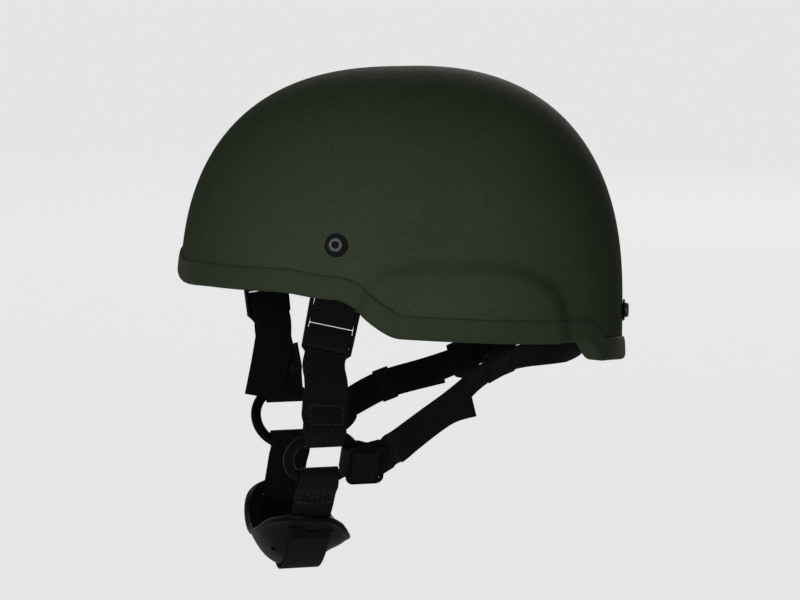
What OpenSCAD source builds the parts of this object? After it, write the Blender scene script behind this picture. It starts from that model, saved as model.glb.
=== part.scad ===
// Combat helmet: pressed shell with rubber edge trim, seven fit pads and a webbing chin harness.
// The origin is where the top of the head meets the crown pad. Front is -Y, the wearer's left is +X.

/* [Shell] */
// Height of the crown above the plane of the ear rim, outside
dome_h = 150; // [142:1:160]
// From the middle to the brow, outside
front_len = 142; // [136:1:150]
// From the middle to the nape, outside
rear_len = 135; // [129:1:143]
// Half of the width at the equator, outside
half_w = 120; // [115:1:126]
// Wall thickness
shell_t = 8.5; // [6.5:0.5:10]
// Height of the brow rim over the ear plane
brow_rim = 27.5; // [24:0.5:31]
// Height of the rim at the front of the ear
ear_rim = 1.4; // [-1:0.2:4]
// Height of the rim at the side of the nape
nape_rim = -23; // [-27:0.5:-19]
// How far the pressed ear section stands out
ear_bulge = 5; // [3:0.5:6.5]

/* [Edge trim] */
// Height of the trim's outer leg
trim_h = 13.5; // [10:0.5:15]
// Height of the trim's inner leg
trim_in_h = 10; // [7:0.5:12]
// Thickness of the trim's rubber
trim_t = 1.8; // [1.4:0.1:2.4]

/* [Screws] */
// Height of the side screws over the ear plane
side_screw_z = 53.5; // [50:0.5:57]
// Angle of the side screws round from the brow
side_screw_at = 57.3; // [56:0.1:59]
// Height of the rear screws over the ear plane
rear_screw_z = -1; // [-3:0.5:4]
// Angle of the rear screws round from the brow
rear_screw_at = 160.5; // [158:0.5:163]
// Diameter of the screw heads
screw_head_d = 9.4; // [8:0.2:11]
// Height of the screw heads
screw_head_h = 2.4; // [1.8:0.1:3]
// Diameter of the threaded shanks
shank_d = 4; // [3:0.5:4.5]
// Outside diameter of the post nuts
post_d = 6; // [5.5:0.5:7]
// Diameter of the outer washers
washer_d = 14; // [12:0.5:16]
// Thickness of the outer washers
washer_t = 1.2; // [0.8:0.1:1.6]

/* [Webbing] */
// Width of the chin webbing
web_w = 25; // [22:0.5:26]
// Width of the rear webbing
rear_web_w = 19; // [16:0.5:20]
// Thickness of all webbing
web_t = 1.4; // [1:0.1:1.6]
// Drop from the side screws to the middle of the adjusters
adjuster_drop = 53.5; // [52:0.5:60]
// Drop from the adjusters to the middle of the rings
ring_drop = 80.5; // [76:1:90]
// Length of the strap tails below the middle of the adjusters
tail_len = 66; // [50:1:70]

/* [Adjuster] */
// Width of the adjusters
adj_w = 31.5; // [31:0.5:34]
// Height of the adjusters
adj_h = 43; // [42:0.5:44]
// Thickness of the adjusters
adj_t = 3; // [2.4:0.2:3.4]
// How far the adjusters hang askew
adj_roll = 8; // [0:1:10]

/* [Ring] */
// Outside diameter of the rings
ring_d = 47; // [46:0.5:50]
// Hole of the rings
ring_hole_d = 34; // [33:0.5:36]
// Thickness of the rings
ring_t = 4.2; // [3:0.2:4.6]
// How far the rings lean in
ring_lean = 33; // [26:1:36]

/* [Slider] */
// Length of the rear sliders along the strap
slider_l = 23.5; // [22:0.5:25]
// Height of the rear sliders
slider_h = 27; // [26:0.5:28]
// Thickness of the rear sliders
slider_t = 2.2; // [1.6:0.2:2.6]
// Width of the elastic keepers along the strap
keeper_w = 10; // [6:0.5:12]

/* [Chin cup] */
// Half of the cup's width from wing to wing
cup_half_w = 53; // [51:0.5:55]
// Half of the cup's length from front to back
cup_half_l = 30; // [28:0.5:32]
// Depth of the cup's middle below its front edge
cup_depth = 25; // [20:0.5:28]
// How far the wings rise over the front edge
cup_wing_rise = 17; // [12:0.5:20]
// Wall of the cup
cup_t = 2.2; // [1.8:0.1:2.8]
// Radius of the rolled edge
cup_lip_r = 1.9; // [1.5:0.1:2.4]

/* [Pads] */
// Thickness of the pads
pad_t = 19; // [14:0.5:20]
// Diameter of the crown pad
crown_pad_d = 126; // [110:1:130]
// Width of the front and rear pads
end_pad_w = 98; // [84:1:100]
// Height of the front and rear pads
end_pad_h = 60; // [50:1:64]
// Width of the four side pads
side_pad_w = 50; // [42:1:52]
// Length of the four side pads
side_pad_l = 104; // [90:1:108]
// Diameter of the hook discs behind the pads
disc_d = 32; // [26:1:36]
// Thickness of the hook discs
disc_t = 1; // [0.8:0.1:1.4]

/* [Hidden] */
$fn = 48;

// Colours
olive = [0.19, 0.22, 0.15];
black = [0.06, 0.06, 0.065];
cloth = [0.09, 0.09, 0.095];
steel = [0.1, 0.1, 0.1];

// Width of the sewn ends above the rings
sewn_w = 29;

// Clearances: rubber on shell, webbing on what it passes, and pieces that only lie together
trim_gap = 0.55;
web_gap = 0.35;
lie_gap = 0.3;
disc_gap = 0.5;
shank_gap = 0.05;

// Shape of the dome: exponents of its plan and of its front, side and rear profiles
plan_n = 2.25;
front_n = 2.55;
side_n = 2.15;
rear_n = 2.5;
// The brow edge dips in the middle, and the ear edge falls evenly towards the rear
brow_dip = 3.5;
ear_fall = 0.18;
nape_fall = 3;
// Angles round from the brow where the rim drops to the ear and to the nape
ear_from = 57;
ear_to = 75.5;
nape_from = 129;
nape_to = 138.5;
// The pressed ear section: its top edge is an arch over these angles and heights
arch_at = 90;
arch_front = 27;
arch_rear = 37;
arch_foot = -6;
arch_h = 50.3;
arch_soft = 0.65;

// Height of the ear plane in the part's frame, from the head up through pad, disc and shell
pad_stand = disc_gap + disc_t + lie_gap;
seat_z = -(dome_h - shell_t - pad_stand - pad_t);

// Places of the harness, over the ear plane
screw_at = surf(side_screw_at, side_screw_z);
adj_x = screw_at.x - 14;
adj_c = [[adj_x, screw_at.y - 1, side_screw_z - adjuster_drop],
  [adj_x - 3.5, screw_at.y - 7.2, side_screw_z - adjuster_drop - 4]];
ring_x = adj_x - 18;
ring_web_w = web_w - 1;
ring_c = [[ring_x, screw_at.y - 3.2, adj_c[0].z - ring_drop],
  [ring_x, screw_at.y + 2.7, adj_c[0].z - ring_drop - 2]];
roll = [adj_roll, adj_roll / 2];
adj_yaw = 16;
strap_yaw = 3;
ring_r = ring_d / 2;
hole_r = ring_hole_d / 2;
back = [0, 1, 0];

// Cup: its middle, the height of its front edge and of its lowest point
cup_y = screw_at.y - 4.8;
cup_front_z = ring_c[0].z - 61;
cup_bottom_z = cup_front_z - cup_depth;
vent_r = 1.2;

// General helpers
function smooth(x) = let (c = min(1, max(0, x))) c * c * (3 - 2 * c);
function fold(t) = abs(t - 360 * round(t / 360));
function unit(v) = v / norm(v);
function mix(a, b, k) = a + (b - a) * k;

// Radius of the plan at an angle round from the brow, towards the wearer's left
function plan_r(t) = pow(pow(abs(cos(t)) / (cos(t) > 0 ? front_len : rear_len), plan_n)
  + pow(abs(sin(t)) / half_w, plan_n), -1 / plan_n);
function dome_n(t) = side_n + ((cos(t) > 0 ? front_n : rear_n) - side_n) * pow(cos(t), 2);
function bulge(t, z) = let (d = fold(t) - arch_at,
  along = d < 0 ? pow(min(1, -d / arch_front), 5) : pow(min(1, d / arch_rear), 2.5),
  up = pow(max(0, z - arch_foot) / arch_h, 3)) ear_bulge * smooth((1 - along - up) / arch_soft);
// A point at an angle and a height, and how far out from the outer surface; the ear section moves
// both faces of the wall by the same amount
function plain(t, z) = let (n = dome_n(t), r = plan_r(t) * (z > 0 ? pow(1 - pow(z / dome_h, n), 1 / n) : 1))
  [r * sin(t), -r * cos(t), z];
function plain_n(t, z) = unit(cross(plain(t, z - 0.4) - plain(t, z + 0.4), plain(t + 0.4, z) - plain(t - 0.4, z)));
function surf(t, z, off = 0) = plain(t, z) + off * plain_n(t, z) + bulge(t, z) * [sin(t), -cos(t), 0];
function surf_n(t, z) = unit(cross(surf(t, z - 0.4) - surf(t, z + 0.4), surf(t + 0.4, z) - surf(t - 0.4, z)));
// Height of the shell's rim
function rim_z(t) = let (a = fold(t), brow = brow_rim - brow_dip * pow(max(0, cos(a)), 8),
  ear = ear_rim - ear_fall * (a - ear_to), nape = nape_rim - nape_fall * smooth((a - nape_to) / 42))
  brow + (ear - brow) * smooth((a - ear_from) / (ear_to - ear_from))
  + (nape - ear) * smooth((a - nape_from) / (nape_to - nape_from));
// A point of the dome by angle and by share of the way from crown to equator, and on down the wall
dome_arc = 205;
function dome(t, u) = let (n = dome_n(t), f = 90 * min(1, max(u, 0.0001)))
  [plan_r(t) * pow(sin(f), 2 / n) * sin(t), -plan_r(t) * pow(sin(f), 2 / n) * cos(t),
  u > 1 ? -(u - 1) * dome_arc : dome_h * pow(cos(f), 2 / n)];
function dome_normal(t, u) = let (v = max(u, 0.02))
  unit(cross(dome(t, v + 0.01) - dome(t, v - 0.01), dome(t + 0.5, v) - dome(t - 0.5, v)));

// Closed skin over rows of points, each row a loop, closed at both ends by a point
function loops_to_faces(rows, n) = [for (j = [0:rows - 2], i = [0:n - 1], k = [0, 1])
  let (a = j * n + i, b = j * n + (i + 1) % n) k == 0 ? [a, b, b + n] : [a, b + n, a + n]];
module skin(rows, first, last) {
  n = len(rows[0]);
  m = len(rows);
  points = concat([for (r = rows) each r], [first, last]);
  ends = concat([for (i = [0:n - 1]) [m * n, (i + 1) % n, i]],
    [for (i = [0:n - 1]) [m * n + 1, (m - 1) * n + i, (m - 1) * n + (i + 1) % n]]);
  polyhedron(points, concat(loops_to_faces(m, n), ends));
}
// Closed ring over rows of points, each row a loop, the last row joined to the first
module ring_skin(rows) {
  n = len(rows[0]);
  m = len(rows);
  points = [for (r = rows) each r];
  faces = [for (j = [0:m - 1], i = [0:n - 1], k = [0, 1]) let (a = j * n + i, b = j * n + (i + 1) % n,
    c = ((j + 1) % m) * n + (i + 1) % n, d = ((j + 1) % m) * n + i) k == 0 ? [a, c, b] : [a, d, c]];
  polyhedron(points, faces);
}

// Smooth curve through stations, which are lists of numbers
function pass(a, b, c, d, t) = 0.5 * (2 * b + (c - a) * t + (2 * a - 5 * b + 4 * c - d) * t * t
  + (3 * b - a - 3 * c + d) * t * t * t);
function curve(p, steps) = concat([for (i = [0:len(p) - 2], k = [0:steps - 1])
  pass(p[max(i - 1, 0)], p[i], p[i + 1], p[min(i + 2, len(p) - 1)], k / steps)], [p[len(p) - 1]]);
// Webbing: stations hold a point, the direction across the strap and the width there
function strap_rows(st, steps, t) = let (c = curve(st, steps), m = len(c) - 1)
  [for (k = [0:m]) let (p = [c[k][0], c[k][1], c[k][2]],
    e = c[min(k + 1, m)] - c[max(k - 1, 0)], along = unit([e[0], e[1], e[2]]),
    w0 = [c[k][3], c[k][4], c[k][5]], w = unit(w0 - along * (w0 * along)), n = cross(along, w),
    hw = c[k][6] / 2 * w, ht = t / 2 * n) [p + hw + ht, p + hw - ht, p - hw - ht, p - hw + ht]];
module strap(st, steps = 3, t = web_t) {
  rows = strap_rows(st, steps, t);
  m = len(rows) - 1;
  skin(rows, (rows[0][0] + rows[0][2]) / 2, (rows[m][0] + rows[m][2]) / 2);
}
function station(p, w, width) = [p.x, p.y, p.z, w.x, w.y, w.z, width];

// Frames of the harness: origin, down, out and back. Side 0 is the left, and side 1 is mirrored to the right
function lean_frame(o, lean) = [o, [-sin(lean), 0, -cos(lean)], [cos(lean), 0, -sin(lean)], back];
function ring_frame(k) = lean_frame(ring_c[k], ring_lean);
function ring_top(k) = at(ring_frame(k), -ring_r + 3, 0, 0);
function drop_frame(k, yaw = adj_yaw) = let (down = unit(ring_top(k) - adj_c[k]),
  out = unit(cross(down, [sin(yaw), cos(yaw), 0]))) [adj_c[k], down, out, cross(out, down)];
function adj_frame(k) = let (f = drop_frame(k), c = cos(roll[k]), s = sin(roll[k]))
  [f[0], c * f[1] - s * f[3], f[2], c * f[3] + s * f[1]];
function at(f, s, n, v = 0) = f[0] + s * f[1] + n * f[2] + v * f[3];
function web_at(f, s, n, width = web_w) = station(at(f, s, n), f[3], width);
// Turns a piece drawn flat, its X out, its Y back and its Z up, into a frame
module in_frame(f) {
  multmatrix([[f[2].x, f[3].x, -f[1].x, f[0].x], [f[2].y, f[3].y, -f[1].y, f[0].y],
    [f[2].z, f[3].z, -f[1].z, f[0].z], [0, 0, 0, 1]]) children();
}
// Everything is drawn over the ear plane and seated under the crown here
module seated() {
  translate([0, 0, seat_z]) children();
}
module side(k) {
  if (k == 0) seated() children();
  else seated() mirror([1, 0, 0]) children();
}

// Columns of the shell lie closer where the rim drops
half_cols = concat([for (a = [0:6:54]) a], [57.2, 60], [for (a = [61.6:1.3:70.8]) a], [72.6, 74.8, 77.4],
  [for (a = [81:5.5:120]) a], [for (a = [126:2.1:140.8]) a], [for (a = [147:6.6:180]) a]);
cols = concat(half_cols, [for (i = [len(half_cols) - 2:-1:1]) 360 - half_cols[i]]);
upper_rows = 11;
lower_rows = 9;
wall_top = 60;
function upper_u(t) = acos(pow(wall_top / dome_h, dome_n(t) / 2)) / 90;
function wall_row(j, off) = j <= upper_rows
  ? [for (t = cols) let (u = upper_u(t) * j / upper_rows) dome(t, u) + off * dome_normal(t, u)]
  : [for (t = cols) surf(t, mix(wall_top, rim_z(t), (j - upper_rows) / lower_rows), off)];
all_rows = upper_rows + lower_rows;
crown = [0, 0, dome_h];

// Places of the screws: a point of the outer surface and the way out
side_screw = [screw_at, surf_n(side_screw_at, side_screw_z)];
rear_screw = [surf(rear_screw_at, rear_screw_z), surf_n(rear_screw_at, rear_screw_z)];
module on_screw(s) {
  translate(s[0]) rotate([0, acos(s[1].z), atan2(s[1].y, s[1].x)]) children();
}
module both() {
  children();
  mirror([1, 0, 0]) children();
}
post_gap = 0.1;
tab_stand = 1.5;

module shell() {
  color(olive) seated() difference() {
    skin(concat([for (j = [1:all_rows]) wall_row(j, 0)], [for (j = [all_rows:-1:1]) wall_row(j, -shell_t)]),
      crown, crown - [0, 0, shell_t]);
    both() {
      on_screw(side_screw) cylinder(h = 3 * shell_t, r = post_d / 2 + post_gap, center = true);
      on_screw(rear_screw) cylinder(h = 3 * shell_t, r = post_d / 2 + post_gap, center = true);
    }
  }
}

// Section of the trim: across the wall, and up from the rim
leg_out = trim_gap + trim_t;
leg_in = -shell_t - leg_out;
trim_section = [[trim_gap, trim_h], [trim_gap + 0.6 * trim_t, trim_h], [leg_out, trim_h - 1.2],
  [leg_out, trim_h / 2], [leg_out, 0], [trim_gap + 0.5 * trim_t, -leg_out],
  [-shell_t - trim_gap - 0.5 * trim_t, -leg_out], [leg_in, 0], [leg_in, trim_in_h / 2],
  [leg_in, trim_in_h - 1.2], [leg_in + 0.4 * trim_t, trim_in_h], [-shell_t - trim_gap, trim_in_h],
  [-shell_t - trim_gap, trim_in_h / 2], [-shell_t - trim_gap, -trim_gap], [trim_gap, -trim_gap],
  [trim_gap, trim_h * 0.35], [trim_gap, trim_h * 0.7]];
// A point of the surface that lies up from the rim, square to the rim's run
function rim_frame(t) = let (z = rim_z(t), n = plain_n(t, z), e = 0.4,
  run = unit(surf(t + e, rim_z(t + e)) - surf(t - e, rim_z(t - e)))) [z, n, cross(n, run)];
function rim_point(t, up) = let (f = rim_frame(t), r = plan_r(t), side_way = [cos(t), sin(t), 0],
  dt = (f[2] * side_way) * up / r * 180 / PI) [t + dt, f[0] + f[2].z * up];
module edge_trim() {
  color(olive * 1.15) seated() ring_skin([for (t = cols) [for (q = trim_section)
    let (m = rim_point(t, q[1])) surf(m[0], m[1], q[0])]]);
}

// Screws
washer_out = washer_t + lie_gap;
socket_d = 4.4;
shank_l = 8;
module screw() {
  translate([0, 0, washer_out + 0.05]) difference() {
    union() {
      cylinder(h = screw_head_h * 0.6, d = screw_head_d);
      translate([0, 0, screw_head_h * 0.6])
        cylinder(h = screw_head_h * 0.4, d1 = screw_head_d, d2 = screw_head_d - 1.6);
      translate([0, 0, -shank_l]) cylinder(h = shank_l + 0.1, d = shank_d);
    }
    translate([0, 0, screw_head_h - 1.6]) cylinder(h = 2, d = socket_d, $fn = 6);
  }
}
module washer() {
  translate([0, 0, lie_gap]) difference() {
    cylinder(h = washer_t, d1 = washer_d, d2 = washer_d - 0.8);
    translate([0, 0, -1]) cylinder(h = washer_t + 2, r = shank_d / 2 + 0.2);
  }
}
// A flanged tube that comes through from the inside and takes the screw's shank
flange_d = 15;
flange_t = 1.2;
tab_in = shell_t + tab_stand + web_t + lie_gap;
module post_nut() {
  difference() {
    union() {
      translate([0, 0, -tab_in - flange_t]) cylinder(h = flange_t, d = flange_d);
      translate([0, 0, -tab_in - flange_t]) cylinder(h = tab_in + flange_t - 0.4, d = post_d);
    }
    translate([0, 0, -tab_in - flange_t - 1])
      cylinder(h = tab_in + flange_t + 2, r = shank_d / 2 + shank_gap);
  }
}
module left_side_screw() { color(steel) seated() on_screw(side_screw) screw(); }
module right_side_screw() { color(steel) seated() mirror([1, 0, 0]) on_screw(side_screw) screw(); }
module rear_screws() { color(steel) seated() both() on_screw(rear_screw) screw(); }
module screw_washers() {
  color(black) seated() both() {
    on_screw(side_screw) washer();
    on_screw(rear_screw) washer();
  }
}
module side_post_nuts() { color(steel) seated() both() on_screw(side_screw) post_nut(); }
module rear_post_nuts() { color(steel) seated() both() on_screw(rear_screw) post_nut(); }

// Webbing tab under a post nut: stations along the wall's inside at some depth below the screw
function wall_in(t, z, off) = surf(t, z) - surf_n(t, z) * (shell_t + off);
function wall_back(t, z) = let (n = surf_n(t, z)) unit([-n.y, n.x, 0]);
function tab_point(s, along) = let (n = s[1], b = unit([-n.y, n.x, 0]), up = cross(n, b))
  s[0] - n * (shell_t + tab_stand + web_t / 2) + up * along;
function tab_back(s) = unit([-s[1].y, s[1].x, 0]);
tab_end = 10;

// Bars of the adjuster, measured down from its middle, and how far webbing wraps outside them
bar_top = [-14, -6];
bar_mid = [0, 8.5];
bar_low = [13.5, adj_h / 2];
wrap = adj_t / 2 + web_gap + web_t / 2;
half_bar = adj_t / 2;
// Hanger: from its sewn end, round the top bar and up to the side screw
function hanger_route(k) = let (f = adj_frame(k), e = bar_top[1] - half_bar, s = side_screw,
  at_rim = wall_in(side_screw_at - 2 * k, brow_rim + 3.5, trim_t + 3.4 + 1.5 * k))
  [web_at(f, -27, -2.8), web_at(f, -22, -2.8), web_at(f, -14, -wrap), web_at(f, e, -wrap),
  web_at(f, e + 0.7 * wrap, -0.7 * wrap), web_at(f, e + wrap, 0), web_at(f, e + 0.7 * wrap, 0.7 * wrap),
  web_at(f, e, wrap), web_at(f, -15, wrap), web_at(f, -22, 2.7),
  station(at_rim, wall_back(side_screw_at, brow_rim + 8), web_w),
  station(tab_point(s, -11.5) - (1.4 + 0.6 * k) * s[1], tab_back(s), web_w),
  station(tab_point(s, -8.5), tab_back(s), web_w), station(tab_point(s, 0), tab_back(s), web_w),
  station(tab_point(s, tab_end), tab_back(s), web_w)];
module hanger(k) {
  color(cloth) side(k) difference() {
    strap(hanger_route(k));
    on_screw(side_screw) cylinder(h = 3 * tab_in, r = post_d / 2 + post_gap, center = true);
  }
}
module left_hanger() { hanger(0); }
module right_hanger() { hanger(1); }

// Adjuster: a frame with three bars
rail_w = 2.6;
module bar(from, to, width) {
  hull() {
    for (z = [from + half_bar, to - half_bar])
      translate([0, 0, -z]) rotate([90, 0, 0]) cylinder(h = width, d = adj_t, center = true, $fn = 24);
  }
}
module frame_outline(w, h, r_low, r_top) {
  hull() {
    for (v = [-1, 1]) {
      translate([v * (w / 2 - r_low), -h / 2 + r_low]) circle(r = r_low, $fn = 32);
      translate([v * (w / 2 - r_top), h / 2 - r_top]) circle(r = r_top, $fn = 32);
    }
  }
}
module adjuster(k) {
  color(black) side(k) in_frame(adj_frame(k)) {
    rotate([90, 0, 90]) linear_extrude(height = adj_t, center = true) difference() {
      frame_outline(adj_w, adj_h, 8, 4);
      translate([-adj_w / 2 + rail_w, -bar_low[0] - half_bar])
        square([adj_w - 2 * rail_w, bar_low[0] + half_bar + adj_h / 2 - rail_w]);
    }
    for (b = [bar_top, bar_mid, bar_low - [0, half_bar]]) bar(b[0], b[1], adj_w - 2 * rail_w + 1);
  }
}
module left_adjuster() { adjuster(0); }
module right_adjuster() { adjuster(1); }

// Height in the ring's hole where webbing of a width passes straight across
function pass_at(width) = sqrt(pow(hole_r, 2) - pow(width / 2, 2)) - 2 * web_gap - web_t / 2;
ring_wrap = ring_t / 2 + web_gap + web_t / 2;
function in_ring(g, s, n) = web_at(g, s, n, ring_web_w);
// Front strap: from the tail's end up behind the bars, over the middle bar, down and round the ring
function front_route(k) = let (f = adj_frame(k), d = drop_frame(k), b = drop_frame(k, strap_yaw),
  g = ring_frame(k), e = bar_mid[0] + half_bar, h = bar_mid[1] - half_bar,
  mid = (bar_mid[1] + bar_low[0]) / 2, p = pass_at(ring_web_w), far = norm(ring_top(k) - adj_c[k]))
  [web_at(b, tail_len, -7), web_at(b, 40, -6.4), web_at(f, 21, -5.4), web_at(f, 12, -4.5),
  web_at(f, 6, -3.3), web_at(f, e, -wrap), web_at(f, e - 0.7 * wrap, -0.7 * wrap), web_at(f, e - wrap, 0),
  web_at(f, e - 0.7 * wrap, 0.7 * wrap), web_at(f, e, wrap), web_at(f, h - 1.5, wrap),
  web_at(f, mid - 2.2, 1.9), web_at(f, mid, 0), web_at(f, mid + 2.4, -1.9), web_at(f, 17, -wrap),
  web_at(f, 23, -2.1), web_at(d, 34, 0.6), web_at(b, far - 14, 1), web_at(g, -ring_r - 1.5, 2.3),
  web_at(g, -ring_r + 1, ring_wrap),
  in_ring(g, -p - 3, ring_wrap), in_ring(g, -p - 0.3 * ring_wrap, 0.7 * ring_wrap), in_ring(g, -p, 0),
  in_ring(g, -p - 0.3 * ring_wrap, -0.7 * ring_wrap), in_ring(g, -p - 3, -ring_wrap),
  web_at(g, -ring_r + 1, -ring_wrap), web_at(b, far - 10, -1.1, sewn_w), web_at(b, far - 18, -0.9, sewn_w),
  web_at(b, far - 27, -0.9, sewn_w)];
module left_front_strap() { color(cloth) side(0) strap(front_route(0)); }
module right_front_strap() { color(cloth) side(1) strap(front_route(1)); }

// Ring: a flat ring with bevelled edges
module ring(k) {
  bevel = 1.1;
  color(black) side(k) in_frame(ring_frame(k)) rotate([0, 90, 0]) rotate_extrude($fn = 96)
    polygon([[hole_r, -ring_t / 2 + bevel], [hole_r + bevel, -ring_t / 2], [ring_r - bevel, -ring_t / 2],
      [ring_r, -ring_t / 2 + bevel], [ring_r, ring_t / 2 - bevel], [ring_r - bevel, ring_t / 2],
      [hole_r + bevel, ring_t / 2], [hole_r, ring_t / 2 - bevel]]);
}
module left_ring() { ring(0); }
module right_ring() { ring(1); }

// Rear strap: its run from the slider to the rear screw, points picked by hand over the ear plane
slider_lean = 22;
function slider_frame(k) = lean_frame(at(ring_frame(k), 0, 8.4, 26), slider_lean);
function across(lean) = [sin(lean), 0, cos(lean)];
rear_run = [[[83, -21, -70, 14], [88, 3, -51, 12], [82, 26, -38, 26], [69, 52, -32, 42],
  [58, 84, -28, 56], [45, 102, -17, 76]],
  [[80.5, -16.5, -75.5, 14], [84, 5, -66.5, 12], [81, 31, -59, 22], [68, 54, -48, 40],
  [58, 84, -33, 56], [45, 102, -18, 76]]];
tail_run = [[[85, -21, -70.5, 14], [90.2, 3, -52, 12], [92, 20, -46.5, 10]],
  [[82.5, -16.5, -76, 14], [86.2, 5, -67, 12], [86.5, 44, -58.5, 10]]];
function run_station(q) = station([q[0], q[1], q[2]], across(q[3]), rear_web_w);
slider_wrap = slider_t / 2 + web_gap + web_t / 2;
function slid(f, v, n, s = 0) = station(at(f, s, n, v), -1 * f[1], rear_web_w);
// From the tail's end through the slider, round the back of the ring and on to the rear screw
function rear_route(k) = let (g = ring_frame(k), f = slider_frame(k), s = rear_screw,
  p = pass_at(rear_web_w), m = slider_mid, b = -1 * tab_back(s))
  concat([for (i = [2:-1:0]) run_station(tail_run[k][i])],
    [slid(f, slider_l / 2 + 4, -slider_wrap - 0.6, -2.4), slid(f, slider_l / 2, -slider_wrap - 0.5),
    slid(f, m + 2.7, -0.88 * slider_wrap), slid(f, m, 0),
    slid(f, m - 2.7, 0.88 * slider_wrap), slid(f, 0, slider_wrap), slid(f, 2.7 - m, 0.88 * slider_wrap),
    slid(f, -m, 0), slid(f, -m - 2.7, -0.88 * slider_wrap), slid(f, -slider_l / 2 + 0.8, -slider_wrap - 1.4),
    slid(g, p + 0.4, 2.4), slid(g, p, 0), slid(g, p + 0.5, -2.3), slid(g, p + 3.4, -ring_wrap),
    slid(g, ring_r - 1, -ring_wrap), slid(f, 3.2, -7.2), slid(f, 8, -5.4),
    slid(f, 12.5, -4.3, -1), slid(f, 16, -4, -3)],
    [for (q = rear_run[k]) run_station(q)],
    [station(tab_point(s, -11.5) - 2.4 * s[1], b, rear_web_w), station(tab_point(s, -8.4), b, rear_web_w),
    station(tab_point(s, 0), b, rear_web_w),
    station(tab_point(s, tab_end), b, rear_web_w)]);
module rear_strap(k) {
  color(cloth) side(k) difference() {
    strap(rear_route(k));
    on_screw(rear_screw) cylinder(h = 3 * tab_in, r = post_d / 2 + post_gap, center = true);
  }
}
module left_rear_strap() { rear_strap(0); }
module right_rear_strap() { rear_strap(1); }

// Slider: a frame with a middle bar, over the back of the ring
slider_bar = 4.8;
slider_edge = 2.4;
slider_mid = (slider_l / 2 - slider_edge + slider_bar / 2) / 2;
module slider(k) {
  slot_w = slider_l / 2 - slider_edge - slider_bar / 2;
  color(black) side(k) in_frame(slider_frame(k)) rotate([90, 0, 90])
    linear_extrude(height = slider_t, center = true) difference() {
      frame_outline(slider_l, slider_h, 5, 2.5);
      for (v = [-1, 1]) translate([v * slider_mid, 0])
        square([slot_w, rear_web_w + 2 * web_gap], center = true);
    }
}
module left_slider() { slider(0); }
module right_slider() { slider(1); }

// Keeper: a flat loop of elastic round the right rear strap and its tail
keeper_t = 1;
module strap_keeper() {
  a = rear_run[1][1];
  b = tail_run[1][1];
  mid = ([a[0], a[1], a[2]] + [b[0], b[1], b[2]]) / 2;
  ahead = rear_run[1][0];
  behind = rear_run[1][2];
  along = unit([behind[0], behind[1], behind[2]] - [ahead[0], ahead[1], ahead[2]]);
  up = unit(across(a[3]) - along * (across(a[3]) * along));
  inner_w = rear_web_w + 7 * web_gap;
  inner_t = b[0] - a[0] + web_t + 6 * web_gap;
  color(black) side(1) in_frame([mid, -up, cross(along, up), along]) difference() {
    cube([inner_t + 2 * keeper_t, keeper_w, inner_w + 2 * keeper_t], center = true);
    cube([inner_t, keeper_w + 2, inner_w], center = true);
  }
}

// Nape strap: it lies across under the nape and wraps round both rear straps
nape_web_w = 17;
nape_way = [0, 0.94, 0.34];
function xyz(q) = [q[0], q[1], q[2]];
function nape_end(k) = let (r = rear_run[k], q = r[3], c = xyz(q), along = unit(xyz(r[4]) - xyz(r[2])),
  w = unit(across(q[3]) - along * (across(q[3]) * along)), n = cross(along, w), off = web_t + 1.6,
  edge = rear_web_w / 2, way = k == 0 ? along : [-along.x, along.y, along.z])
  [for (v = [[-7, off], [0, off], [edge - 1, off], [edge + off * 0.75, off * 0.7], [edge + off, 0],
    [edge + off * 0.75, -off * 0.7], [edge - 1, -off], [0, -off], [-edge, -off]])
    let (p = c + v[0] * w + v[1] * n) station([k == 0 ? p.x : -p.x, p.y, p.z], way, nape_web_w)];
nape_mid = [[46, 53, -43], [24, 54, -46], [0, 54.5, -48], [-24, 54.5, -50.5], [-46, 54.5, -54]];
module nape_strap() {
  right = nape_end(1);
  m = len(right) - 1;
  color(cloth) seated() strap(concat(nape_end(0), [for (p = nape_mid) station(p, nape_way, nape_web_w)],
    [for (i = [m:-1:0]) right[i]]), 2);
}

// Chin cup: its outer surface by angle round from the left wing and share of the way to the edge
cup_n = 2.6;
cup_wing_n = 1.7;
function plan_pow(c) = sign(c) * pow(abs(c), 2 / cup_n);
function cup_pt(a, u) = let (x = u * plan_pow(cos(a)), y = u * plan_pow(sin(a)))
  [x * cup_half_w, cup_y + y * cup_half_l,
  cup_bottom_z + (cup_depth + cup_wing_rise) * pow(abs(x), cup_wing_n) + cup_depth * pow(abs(y), 3)];
function cup_up(a, u) = unit(cup_pt(a, u + 0.01) - cup_pt(a, u - 0.01));
function cup_out(a, u) = unit(cross(cup_pt(a + 0.5, u) - cup_pt(a - 0.5, u), cup_up(a, u)));
cup_cols = [for (a = [3.6:7.2:357]) a];
cup_shares = [0.2, 0.4, 0.58, 0.74, 0.87, 0.95];
lip_turns = [-50, -5, 40, 90, 140, 185, 230];
vents = [[90, 0.62], [270, 0.62], [50, 0.68], [130, 0.68], [230, 0.68], [310, 0.68]];
cup_slot_x = 45;
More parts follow.
